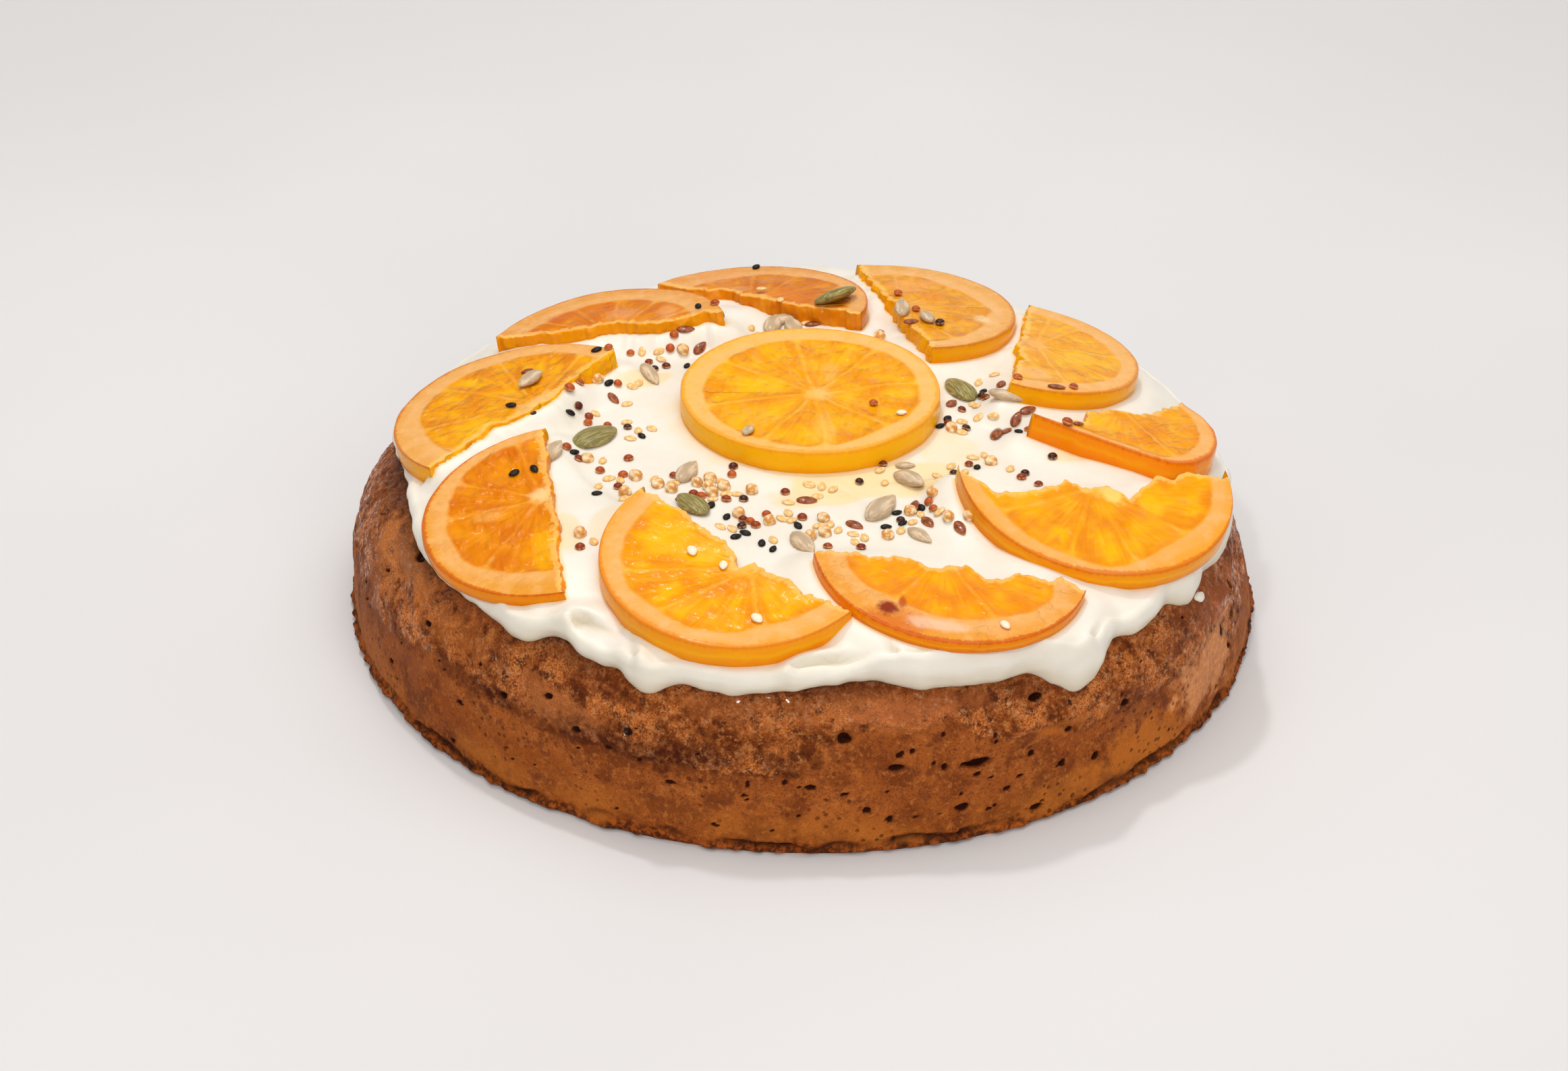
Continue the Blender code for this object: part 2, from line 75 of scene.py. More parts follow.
# Where the lumpy shoulder ends and the smooth side begins: azimuth and height.
SHOULDER_LINE = (
    (-180, 20), (-168, 24), (-158, 19), (-148, 20), (-138, 25), (-128, 23), (-118, 24), (-108, 22),
    (-98, 21), (-90, 23), (-87, 31), (-80, 32), (-72, 31), (-69, 27), (-61, 26), (-57, 24),
    (-52, 20), (-46, 21), (-38, 22), (-30, 24), (-25, 16), (-18, 15), (-8, 20), (10, 23), (30, 19),
    (50, 24), (70, 21), (90, 25), (112, 20), (135, 23), (158, 19),
)
# Burst bubbles that are large enough to see: azimuth, height, half width, half height, depth.
BUBBLES = (
    (-78.8, 22.8, 2.0, 0.8, 1.5), (-69.4, 20.9, 3.7, 1.2, 2.4), (-73.2, 21.5, 0.9, 0.9, 1.2),
    (-76.9, 26.4, 0.8, 0.6, 0.9), (-78.4, 25.6, 1.0, 0.5, 0.8), (-88.3, 18.6, 1.4, 0.7, 1.3),
    (-91.2, 19.6, 1.0, 0.9, 0.5), (-84.5, 16.6, 0.7, 0.6, 0.8), (-82.0, 12.3, 1.1, 0.7, 1.1),
    (-79.4, 9.3, 0.9, 1.0, 1.1), (-76.4, 9.0, 0.7, 0.5, 0.7), (-71.0, 9.9, 2.1, 1.2, 1.5),
    (-64.0, 15.0, 1.1, 0.5, 0.9), (-61.5, 4.6, 2.2, 0.9, 1.4), (-62.4, 19.8, 0.9, 1.1, 1.0),
    (-65.6, 12.6, 0.9, 0.7, 0.6), (-61.1, 32.5, 2.2, 0.9, 1.6), (-48.7, 23.4, 1.1, 0.9, 1.0),
    (-56.9, 29.0, 0.6, 0.7, 0.5), (-84.6, 30.0, 1.7, 1.4, 1.4), (-104.0, 17.2, 1.5, 0.5, 0.7),
    (-95.3, 18.4, 0.7, 0.5, 0.6), (-89.6, 11.2, 0.7, 0.5, 0.7), (-67.0, 25.4, 0.7, 0.5, 0.6),
    (-58.2, 14.6, 0.8, 1.2, 0.5), (-22.0, 28.0, 1.6, 1.8, 1.4), (-26.0, 20.0, 0.8, 1.9, 0.9),
    (-149.0, 39.2, 2.6, 1.2, 1.8), (-141.0, 30.5, 1.4, 0.8, 0.9), (-133.0, 17.5, 1.2, 0.6, 0.8),
)
MORE_BUBBLES = 170
BUBBLE_SEED = 5
MORE_BUBBLES_HEIGHTS = (5.5, 34)
# Rows of the sponge that the icing covers, as shares of the radius of the icing's edge.
ROWS_UNDER_ICING = (0.985, 0.965, 0.92, 0.8, 0.5)
# Noise is looked up in a frame turned off the axes, so that no rows of lumps line up with them.
TURNED = np.array(
    Matrix.Rotation(0.7, 3, "X") @ Matrix.Rotation(0.5, 3, "Y") @ Matrix.Rotation(0.9, 3, "Z")
)


def ramp(start, end, value):
    """0 at start and before it, 1 at end and past it, with a smooth rise between."""
    share = np.clip((value - start) / (end - start), 0.0, 1.0)
    return share * share * (3.0 - 2.0 * share)


def bump(offset, half_width):
    """1 in the middle of a raised cosine, 0 from half_width on."""
    return 0.5 + 0.5 * np.cos(np.pi * np.minimum(np.abs(offset) / half_width, 1.0))


def turn_between(a, b):
    """Degrees from azimuth a to azimuth b, from -180 to 180."""
    return (b - a + 180.0) % 360.0 - 180.0


def scatter(cells, seed):
    """A fixed random number from 0 to 1 for each whole-number place."""
    x, y, z = np.moveaxis(cells, -1, 0)
    mixed = (x * 374761393 + y * 668265263 + z * 1442695041 + seed * 974634777) & 0xFFFFFFFF
    mixed = ((mixed ^ (mixed >> 13)) * 1274126177) & 0xFFFFFFFF
    return ((mixed ^ (mixed >> 16)) & 0xFFFF) / 65535.0


def waves(points, size, seed=0):
    """Smooth noise from -1 to 1, its lumps about size across."""
    scaled = points @ TURNED / size + 17.3 * seed
    cell = np.floor(scaled).astype(np.int64)
    part = scaled - cell
    part = part**3 * (part * (part * 6.0 - 15.0) + 10.0)
    total = 0.0
    for corner in np.ndindex(2, 2, 2):
        weight = np.prod(np.where(corner, part, 1.0 - part), axis=-1)
        total = total + weight * scatter(cell + np.array(corner), seed)
    return 2.0 * total - 1.0


def lumps(points, size, layers=3, seed=0):
    """Several layers of waves, each half as large and half as strong as the one before."""
    return sum(waves(points, size * 0.5**n, seed + n) * 0.5**n for n in range(layers))


def roundness(azimuth):
    """0 where the shoulder is as tight as in front, 1 where it is as round as at the back."""
    turn = (azimuth + 90.0) % 360.0 - 90.0
    return ramp(*BACK_BEGINS, turn) * ramp(*BACK_ENDS, turn)


def exponents(azimuth):
    share = roundness(azimuth)
    return tuple(f + (b - f) * share for f, b in zip(FRONT_EXPONENTS, BACK_EXPONENTS))


def sponge_top(radius, azimuth):
    """Height of the sponge at a radius."""
    across, up = exponents(azimuth)
    inside = np.maximum(1.0 - (radius / CAKE_RADIUS) ** across, 0.0)
    return CAKE_HEIGHT * inside ** (1.0 / up)


def sponge_side(height, azimuth):
    """Radius of the sponge at a height."""
    across, up = exponents(azimuth)
    return CAKE_RADIUS * (1.0 - (height / CAKE_HEIGHT) ** up) ** (1.0 / across)


def sponge_slope(radius, height, azimuth):
    """How far the sponge's outward normal points outwards and upwards."""
    across, up = exponents(azimuth)
    outwards = across / CAKE_RADIUS * (radius / CAKE_RADIUS) ** (across - 1.0)
    upwards = up / CAKE_HEIGHT * (height / CAKE_HEIGHT) ** (up - 1.0)
    length = np.hypot(outwards, upwards)
    return outwards / length, upwards / length


def foot_radius(azimuth):
    """How far the foot stands out, the same on opposite sides."""
    return FOOT_LIP + OUT_OF_ROUND * (
        np.cos(np.radians(2 * azimuth - 30)) + 0.6 * np.cos(np.radians(6 * azimuth + 40))
    )


def on_circle(radius, azimuth, height):
    """Places from their radius, azimuth and height."""
    turn = np.radians(azimuth)
    parts = np.broadcast_arrays(radius * np.cos(turn), radius * np.sin(turn), height)
    return np.stack(parts, axis=-1)


def mesh_of(name, points, faces, values=None):
    """An object in metres from points in millimetres, with its numbers for each point."""
    mesh = bpy.data.meshes.new(name)
    mesh.from_pydata((np.asarray(points) * MM).tolist(), [], [list(face) for face in faces])
    for key, numbers in (values or {}).items():
        numbers = np.asarray(numbers, np.float32)
        if numbers.ndim == 1:
            mesh.attributes.new(key, "FLOAT", "POINT").data.foreach_set("value", numbers)
        else:
            layer = mesh.attributes.new(key, "FLOAT_VECTOR", "POINT")
            layer.data.foreach_set("vector", numbers.ravel())
    mesh.shade_smooth()
    mesh.update()
    made = bpy.data.objects.new(name, mesh)
    bpy.context.scene.collection.objects.link(made)
    return made


def band_faces(rows, columns, closed=True):
    """Quads of a grid of rows by columns, whose columns join up in a ring if closed."""
    row = np.arange(rows - 1)[:, None] * columns
    step = np.arange(columns if closed else columns - 1)[None, :]
    after = (step + 1) % columns
    quads = np.stack([row + step, row + after, row + columns + after, row + columns + step], axis=-1)
    return quads.reshape(-1, 4).tolist()


def fan_faces(start, columns, middle, upwards):
    """Triangles from a ring of points to a middle one."""
    ring = [(start + step, start + (step + 1) % columns) for step in range(columns)]
    return [(a, b, middle) if upwards else (b, a, middle) for a, b in ring]


class Shade:
    """A socket of a material's nodes, which takes part in Python arithmetic."""

    def __init__(self, tree, socket=None):
        self.tree = tree
        self.socket = socket

    def node(self, kind, settings=None, inputs=None, output=0):
        """Any node: its settings, the values or links of its sockets, and which output is used."""
        made = self.tree.nodes.new("ShaderNode" + kind)
        for key, value in (settings or {}).items():
            setattr(made, key, value)
        for key, value in (inputs or {}).items():
            if isinstance(value, Shade):
                self.tree.links.new(value.socket, made.inputs[key])
            else:
                made.inputs[key].default_value = value
        return Shade(self.tree, made.outputs[output])

    def math(self, operation, *values):
        return self.node("Math", {"operation": operation}, dict(enumerate(values)))

    def __add__(self, other):
        return self.math("ADD", self, other)

    def __sub__(self, other):
        return self.math("SUBTRACT", self, other)

    def __rsub__(self, other):
        return self.math("SUBTRACT", other, self)

    def __mul__(self, other):
        return self.math("MULTIPLY", self, other)

    __radd__ = __add__
    __rmul__ = __mul__

    def least(self, other):
        return self.math("MINIMUM", self, other)

    def most(self, other):
        return self.math("MAXIMUM", self, other)

    def rise(self, start, end, low=0.0, high=1.0):
        """low where this is at start or before, high at end or past it, smooth between."""
        inputs = {0: self, 1: start, 2: end, 3: low, 4: high}
        return self.node("MapRange", {"interpolation_type": "SMOOTHSTEP"}, inputs)

    def blend(self, first, second):
        """The first colour where this is 0, the second where it is 1."""
        colours = [(*c, 1.0) if isinstance(c, tuple) else c for c in (first, second)]
        return self.node("Mix", {"data_type": "RGBA"}, dict(zip((0, 6, 7), (self, *colours))), 2)

    def value(self, name):
        """A number that the mesh holds for each point."""
        return self.node("Attribute", {"attribute_name": name}, output=2)

    def vector(self, name):
        """A vector that the mesh holds for each point."""
        return self.node("Attribute", {"attribute_name": name}, output=1)

    def places(self):
        """Places on the object, in millimetres."""
        spot = self.node("TexCoord", output=3)
        return spot.stretched(1.0 / MM, 1.0 / MM, 1.0 / MM)

    def stretched(self, x, y, z):
        return self.node("VectorMath", {"operation": "MULTIPLY"}, {0: self, 1: (x, y, z)})

    def moved(self, x, y, z):
        return self.node("VectorMath", {"operation": "ADD"}, {0: self, 1: (x, y, z)})

    def from_place(self, x, y, half_x, half_y):
        """How far places are from one in plan, where 1 is its half size."""
        offset = self.moved(-x, -y, 0.0).stretched(1.0 / half_x, 1.0 / half_y, 0.0)
        return self.node("VectorMath", {"operation": "LENGTH"}, {0: offset}, 1)

    def noise(self, size, layers=2.0, rough=0.5):
        """Noise from 0 to 1, its lumps about size across, over this vector."""
        inputs = {"Vector": self, "Scale": 1.0 / size, "Detail": layers, "Roughness": rough}
        return self.node("TexNoise", None, inputs)

    def cells(self, size):
        """How far places are from the middles of cells about size across, over this vector."""
        return self.node("TexVoronoi", None, {"Vector": self, "Scale": 1.0 / size})

    def bumped(self, height, distance, strength):
        """A normal from a height, with distance in millimetres."""
        inputs = {"Height": height, "Distance": distance * MM, "Strength": strength}
        return self.node("Bump", None, inputs)


def rgb(red, green, blue):
    """A colour given as it looks on a screen, 0 to 255, in the linear numbers that shaders take."""
    shares = [channel / 255.0 for channel in (red, green, blue)]
    return tuple(s / 12.92 if s < 0.04045 else ((s + 0.055) / 1.055) ** 2.4 for s in shares)


def layered(colour, *layers):
    """A colour under others: each has a mask, where the mask rises from and to, strength, tint."""
    for mask, start, end, strength, tint in layers:
        colour = mask.rise(start, end, 0.0, strength).blend(colour, tint)
    return colour


def new_finish(name):
    """A material and the start of its nodes."""
    made = bpy.data.materials.new(name)
    made.use_nodes = True
    return made, Shade(made.node_tree)


def set_finish(made, constants, **linked):
    """Sets the shader's constant sockets, and links those that change over the surface."""
    shader = made.node_tree.nodes["Principled BSDF"]
    for key, value in constants.items():
        shader.inputs[key].default_value = value
    for key, value in linked.items():
        made.node_tree.links.new(value.socket, shader.inputs[key.replace("_", " ")])


# The icing's edge: its radius, the way it is off the middle and by how much, and its lobes, each
# with azimuth, half width in degrees and how far it reaches out.
ICING_RADIUS = 106.7
ICING_TURN = (-55.0, 2.4)
ICING_LOBES = (
    (-164, 18, -4.6), (-127, 8, 1.1), (-121, 5, -2.1), (-108, 5, 2.6), (-99, 8, 0.8),
    (-84, 12, -2.8), (-55, 8, 4.6), (-44, 5, 0.7), (-33, 5, 2.2), (-20, 9, 1.6), (18, 14, -1.3),
    (46, 12, 0.8), (75, 13, -1.2), (104, 12, 1.0), (133, 14, -0.6), (156, 9, 1.4),
)


def icing_edge(azimuth):
    """Radius of the icing's edge on the sponge."""
    towards, amount = ICING_TURN
    lobes = sum(reach * bump(turn_between(at, azimuth), half) for at, half, reach in ICING_LOBES)
    return ICING_RADIUS + amount * np.cos(np.radians(azimuth - towards)) + lobes


def sponge_mesh():
    around = np.linspace(-180.0, 180.0, SPONGE_COLUMNS, endpoint=False)
    edge = icing_edge(around)
    edge_height = sponge_top(edge, around)
    foot = np.linspace(0.0, SIDE_START, FOOT_ROWS)[:, None]
    side = SIDE_START + (edge_height - SIDE_START) * np.linspace(0.0, 1.0, SIDE_ROWS)[1:, None]
    height = np.concatenate([np.broadcast_to(foot, (FOOT_ROWS, SPONGE_COLUMNS)), side])
    radius = sponge_side(np.minimum(height, CAKE_HEIGHT - 0.01), around)
    under_icing = np.array(ROWS_UNDER_ICING)[:, None]
    radius = np.concatenate([radius, edge * under_icing])
    height = np.concatenate([height, sponge_top(edge * under_icing, around)])
    azimuth = np.broadcast_to(around, radius.shape)
    outwards, upwards = sponge_slope(radius, height, azimuth)
    points = on_circle(radius, azimuth, height)

    wobble = 2.2 * lumps(points, 7.0, 3, seed=3)
    line = np.interp(azimuth, *np.array(SHOULDER_LINE + ((180, 20),), float).T)
    shoulder = ramp(-0.9, 0.9, height - line + wobble)
    open_side = ramp(2.0, 6.0, height) * ramp(1.0, -3.0, height - edge_height)
    large = sum(
        depth * bump(turn_between(at, azimuth), half) * bump(height - level, tall)
        for at, level, half, tall, depth in SIDE_RELIEF
    )
    push = open_side * large * ramp(-1.0, -7.0, height - edge_height)
    swells = 0.40 * lumps(points, 15.0, 2, seed=9) + 0.16 * lumps(points, 3.4, 3, seed=12)
    push = push + open_side * swells
    crags = 1.0 - np.abs(lumps(points, 5.5, 3, seed=20)) * 1.6
    push = push + open_side * shoulder * (0.32 * crags + 0.16 * lumps(points, 2.4, 2, seed=24) - 0.08)

    pit = np.zeros_like(height)
    draw = random.Random(BUBBLE_SEED)
    spots = list(BUBBLES)
    for _ in range(MORE_BUBBLES):
        at = draw.uniform(-180, 180)
        level = draw.uniform(*MORE_BUBBLES_HEIGHTS)
        wide = 0.45 + 0.9 * draw.random() ** 3
        spots.append((at, level, wide, wide * draw.uniform(0.45, 0.9), wide * draw.uniform(0.6, 1.0)))
    for at, level, wide, tall, depth in spots:
        near = np.abs(turn_between(at, around)) < math.degrees(2.2 * wide / CAKE_RADIUS) + 0.5
        across = np.radians(turn_between(at, azimuth[:, near])) * CAKE_RADIUS / wide
        up = (height[:, near] - level) / tall
        away = np.hypot(across, up) + 0.22 * waves(points[:, near], 1.3, seed=31)
        hollow = ramp(1.25, 0.45, away)
        pit[:, near] = np.maximum(pit[:, near], hollow)
        push[:, near] -= hollow * depth
        push[:, near] += 0.18 * bump(away - 1.35, 0.5) * min(wide, 1.4)

    foot_share = ramp(5.0, 2.2, height + 1.4 * lumps(points, 6.0, 3, seed=41))
    crease = bump(height - FOOT_TOP - 1.3 * lumps(points, 9.0, 3, seed=44), 1.4)
    crease = crease * ramp(-0.6, 0.3, lumps(points, 14.0, 2, seed=45))
    crumbs = lumps(points, 2.6, 3, seed=47)
    push = push + foot_radius(azimuth) * ramp(4.0, 2.0, height) * ramp(-0.4, 1.2, height)
    push = push - FOOT_INSET * ramp(1.2, 0.0, height)
    push = push - (1.0 + 0.7 * lumps(points, 5.0, 2, seed=50)) * crease
    push = push + foot_share * 0.75 * crumbs * ramp(0.0, 1.0, height)

    lifted = height + push * upwards * ramp(0.5, 4.0, height)
    points = on_circle(radius + push * outwards, azimuth, lifted)
    rows, columns = radius.shape
    top_middle = rows * columns
    points = np.concatenate([points.reshape(-1, 3), [(0, 0, CAKE_HEIGHT), (0, 0, 0)]])
    faces = band_faces(rows, columns)
    faces += fan_faces((rows - 1) * columns, columns, top_middle, True)
    faces += fan_faces(0, columns, top_middle + 1, False)
    ends = [0.0, 0.0]
    values = {
        "shoulder": np.append(shoulder.ravel(), ends),
        "pit": np.append(pit.ravel(), ends),
        "crease": np.append((crease * ramp(6.0, 4.0, height)).ravel(), ends),
        "foot": np.append(foot_share.ravel(), [0.0, 1.0]),
        "height": np.append(height.ravel(), [CAKE_HEIGHT, 0.0]),
        "turn": np.append(azimuth.ravel(), ends),
    }
    return mesh_of("sponge", points, faces, values)


# Places where the crust looks unlike the rest: azimuth, height, half widths in degrees and in
# millimetres, colour and strength.
CRUST_PATCHES = (
    (-118, 26.5, 5.5, 3.6, (200, 118, 62), 0.75), (-123, 30.5, 4, 2.6, (188, 108, 56), 0.6),
    (-117, 21.8, 6, 1.3, (80, 28, 8), 0.7), (-114, 37, 6, 4, (98, 42, 18), 0.5),
    (-156, 29.5, 5, 8, (188, 110, 58), 0.6), (-138, 33, 9, 4, (200, 112, 48), 0.5),
    (-148.5, 37.5, 4, 3.6, (70, 26, 12), 0.8), (-156, 20.5, 5, 3.6, (126, 70, 44), 0.5),
    (-146, 19, 6, 5, (150, 82, 44), 0.5), (-131, 24, 6, 2.2, (76, 28, 10), 0.75),
    (-124, 23.4, 3, 1.4, (78, 30, 12), 0.6), (-129, 13, 11, 4, (142, 66, 8), 0.55),
    (-104, 23.5, 16, 3.8, (72, 26, 8), 0.9), (-94, 35, 9, 3, (178, 100, 50), 0.5),
    (-84, 36, 6, 3, (188, 108, 56), 0.55), (-77, 31, 6, 1.4, (170, 94, 40), 0.6),
    (-61, 34.6, 9, 2.2, (104, 46, 18), 0.7), (-56, 24.2, 6, 1.3, (196, 110, 38), 0.6),
    (-46, 21.5, 5, 4.6, (110, 54, 30), 0.65), (-45, 10, 9, 6, (200, 112, 30), 0.65),
    # The pale patch at azimuth -31 is a painted reflection of the bright floor on the glossy side.
    (-31, 16, 8, 9, (232, 158, 104), 0.9), (-151.4, 37, 9, 5, (220, 134, 70), 0.75),
    (-76.7, 34, 6, 2.6, (206, 116, 64), 0.6), (-92, 40, 14, 2.2, (84, 34, 12), 0.6),
    (-136.6, 40, 9, 3, (196, 108, 52), 0.6), (-25.3, 28.3, 6, 4, (190, 104, 62), 0.6),
    (-28, 34, 6, 5, (190, 108, 60), 0.5), (-33, 31.5, 9, 4.6, (110, 56, 32), 0.55),
    (-72, 35, 5, 3, (168, 92, 46), 0.5),
)


def crust_finish():
    """Baked batter: a tan side, a browned lumpy shoulder over it with painted glints, dark pits and foot,
    and painted shade under the icing.
    """
    made, start = new_finish("crust")
    spot = start.places()
    shoulder = start.value("shoulder")
    pit = start.value("pit")
    height = start.value("height")
    turn = start.value("turn")
    foot = start.value("foot")
    broad = spot.noise(26.0, 3.0)
    patch = spot.noise(8.0, 4.0, 0.6)
    clots = spot.moved(50.0, 0.0, 0.0).noise(3.2, 3.0, 0.6)
    grain = spot.noise(1.5, 3.0, 0.65)
    fine = spot.noise(0.5, 2.0, 0.6)
    side = broad.rise(0.35, 0.68).blend(rgb(154, 78, 28), rgb(178, 98, 40))
    side = layered(
        side, (patch, 0.46, 0.64, 0.75, rgb(108, 48, 16)),
        (clots, 0.52, 0.66, 0.6, rgb(112, 54, 28)), (grain, 0.50, 0.70, 0.5, rgb(200, 122, 56)),
        (fine, 0.52, 0.66, 0.55, rgb(100, 44, 14)),
    )
    golden = height.rise(14.0, 6.0) * broad.rise(0.38, 0.55) * 0.5
    side = golden.blend(side, rgb(190, 108, 34))
    skin = patch.rise(0.34, 0.66).blend(rgb(122, 56, 18), rgb(206, 112, 46))
    skin = layered(
        skin, (broad, 0.54, 0.72, 0.5, rgb(98, 44, 14)), (clots, 0.50, 0.66, 0.85, rgb(80, 32, 10)),
        (clots, 0.48, 0.30, 0.6, rgb(212, 126, 58)), (grain, 0.48, 0.70, 0.6, rgb(220, 142, 74)),
        (grain, 0.46, 0.32, 0.6, rgb(92, 40, 14)), (fine, 0.50, 0.68, 0.6, rgb(76, 30, 8)),
    )
    # Pale specks on the wet shoulder are painted glints of light on its sugary gloss.
    skin = (fine.rise(0.46, 0.34) * patch.rise(0.44, 0.56) * 0.6).blend(skin, rgb(232, 164, 106))
    colour = (shoulder + (clots - 0.5) * 0.9).rise(0.1, 0.9).blend(side, skin)
    place = start.node("CombineXYZ", None, {0: turn, 1: height})
    for at, level, wide, tall, tint, strength in CRUST_PATCHES:
        away = place.from_place(at, level, wide, tall) + (patch - 0.5) * 2.4 + (clots - 0.5) * 1.8
        cover = away.rise(1.3, 0.5) * strength * grain.rise(0.30, 0.62, 1.0, 0.6)
        colour = cover.blend(colour, rgb(*tint))
    # Painted shade under the icing: the sponge darkens in patches towards the icing, with a painted shadow
    # just below its edge.
    shade_under_icing = height.rise(33.0, 40.0) * patch.rise(0.38, 0.56)
    colour = (shade_under_icing * 0.6).blend(colour, rgb(84, 38, 18))
    colour = height.rise(37.5, 42.5, 0.0, 0.6).blend(colour, rgb(62, 25, 10))
    specks = spot.cells(2.3)
    pin_holes = specks.rise(0.26, 0.12) * (1.0 - shoulder) * broad.rise(0.42, 0.6)
    colour = (pin_holes * 0.7).blend(colour, rgb(84, 34, 12))
    colour = pit.rise(0.12, 0.6, 0.0, 0.97).blend(colour, rgb(44, 9, 3))
    foot_colour = grain.rise(0.42, 0.62).blend(rgb(56, 22, 9), rgb(160, 76, 24))
    foot_colour = clots.rise(0.5, 0.66, 0.0, 0.8).blend(foot_colour, rgb(188, 92, 26))
    colour = (foot * 0.85).blend(colour, foot_colour)
    colour = (start.value("crease") * 0.9).blend(colour, rgb(36, 13, 5))
    wet = shoulder * patch.rise(0.36, 0.54)
    roughness = 0.60 - wet * 0.2 + (grain - 0.5) * 0.2
    coat = wet * grain.rise(0.50, 0.64) * 0.9
    lumpy = clots * 0.9 * shoulder + grain * (0.4 + shoulder * 0.9) + fine * (0.5 + shoulder * 0.5)
    relief = lumpy - pin_holes * 0.8 + foot * clots * 1.2
    normal = start.bumped(relief, 0.7, 0.9)
    constants = {"Coat Roughness": 0.1, "Coat IOR": 1.38, "IOR": 1.4, "Specular IOR Level": 0.1}
    set_finish(made, constants, Base_Color=colour, Roughness=roughness, Coat_Weight=coat, Normal=normal)
    return made


sponge = sponge_mesh()
sponge.data.materials.append(crust_finish())
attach(sponge, "root")
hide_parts("cake")

# ------------------------------------------------------------------------------------------------
# Candied orange slices. One whole round and ten halves of orange, simmered in syrup until they
# are translucent: a smooth pale pith inside a thin rind, and wedges of glossy juice sacs between
# thin membranes. Each lies on the icing on its own plane, and each half has its torn edge.
# ------------------------------------------------------------------------------------------------
# Rim of the slice whose rind was trimmed: towards the rind and along, from its middle.
TRIMMED_RIM = (
    (0.0, 22.6), (8.7, 23.9), (15.6, 22.8), (21.5, 20.0), (26.4, 14.9), (29.2, 8.2), (28.4, 2.3),
    (19.2, -6.7), (9.7, -14.8), (0.0, -22.5),
)
# Place of the middle of the round, the top's height there, radius or rim, the way it leans down
# and by how much, the way its rind faces, how far the torn edge is from the middle, thickness.
SLICES = {
    "middle": (1.1, 1.1, 56.9, 33.0, 0, 0, 0, None, 6.4),
    "front_left": (-13.8, -74.5, 55.3, 32.9, -100, 9.1, -131, -0.9, 6.6),
    "left_front": (-58.9, -53.4, 52.8, 32.2, -135, 10.5, -171, 0.4, 3.8),
    "left": (-70.6, -9.4, 55.5, 33.6, 177, 9.0, 142, 0.4, 5.8),
    "back_left": (-53.3, 30.2, 55.6, 31.7, 154, 10.0, 90, 7.6, 5.4),
    "back": (-16.0, 51.5, 55.3, 32.0, 111, 8.7, 63, 4.3, 5.6),
    "back_right": (24.6, 52.9, 55.1, 31.6, 62, 7.5, 18, -1.6, 5.0),
    "right_back": (58.0, 32.0, 54.8, 30.5, 30, 12.0, -8, -1.5, 5.2),
    "right": (76.5, -2.8, 55.3, TRIMMED_RIM, 10, 9.0, -63.8, 0.0, 7.2),
    "right_front": (70.6, -39.8, 56.4, 33.6, -58, 13.0, -81, -3.4, 5.4),
    "front_right": (34.8, -71.1, 52.8, 32.2, -41, 7.2, -93, 5.9, 3.2),
}
# Bites in the torn edges that are seen less plainly: place along the edge (-1 to 1), half width
# and depth, which is negative where the edge bulges.
BITES = {
    "left": ((-0.1, 22, -3.4), (0.35, 4, 1.5)),
    "back_left": ((0.3, 9, -0.8), (-0.45, 13, -3.4)),
    "back": ((0.35, 8, 2.2), (-0.4, 7, -1.4)),
    "back_right": ((0.1, 5, 1.0), (-0.5, 5, -0.8)),
    "right_back": ((0.0, 4, -1.3), (-0.35, 3, 1.6)),
}
# Torn edges that are seen plainly: place along the edge, and how far it is from the middle there.
TORN_EDGES = {
    "front_left": (
        (-33, 0.0), (-26, -0.4), (-19.5, -1.3), (-16, -1.3), (-11, -0.6), (-5, 0.0), (-0.8, 1.4),
        (1, 2.5), (2.7, 4.2), (4.3, 3.9), (5.0, 1.1), (9, 1.0), (14, 0.2), (20, 0.8), (24, 1.1),
        (25.5, 0.0), (33, -0.7),
    ),
    "left_front": (
        (-32, 0.8), (-20, 0.8), (-5, 0.3), (-1, 0.6), (3, -0.2), (10, -0.2), (15, 0.6), (25, 0.3),
        (32, 0.1),
    ),
    "front_right": (
        (-31.6, 6.0), (-28.6, 4.3), (-24.6, 4.0), (-19.5, 3.4), (-15.5, 2.9), (-9.9, 2.6),
        (-6.5, 3.7), (-4.7, 5.4), (-1.9, 5.1), (-0.2, 2.9), (1.2, 3.7), (3.5, 1.7), (6.0, 4.3),
        (8.9, 6.0), (12.3, 5.7), (16.0, 2.6), (19.1, 3.4), (23.7, 4.6), (25.9, 2.9), (31.6, 6.0),
    ),
    "right_front": (
        (-33.4, -1.0), (-30.5, 1.4), (-28.6, 2.8), (-25.8, 5.1), (-22.4, 5.6), (-17.8, 4.8),
        (-13.3, 3.4), (-10.4, 2.5), (-7.6, 0.8), (-5.0, 2.5), (-4.2, 3.6), (-1.3, 3.6), (2.4, 1.7),
        (3.2, 3.2), (5.2, 5.0), (6.9, 7.0), (8.3, 5.6), (10.0, 4.2), (11.7, 2.2), (14.6, -0.3),
        (16.3, -0.9), (19.7, -0.3), (23.0, -2.0), (28.0, -2.3), (33.4, -1.5),
    ),
    "right": (
        (-22.5, 0.6), (-17.3, 4.6), (-13.3, 3.4), (-9.3, 4.3), (-6.7, 1.1), (-4.2, 0.9), (0.4, 0.3),
        (2.6, 0.6), (5.5, 3.7), (11.2, 3.7), (16.3, 2.9), (19.1, 1.4), (22.6, -0.2),
    ),
}
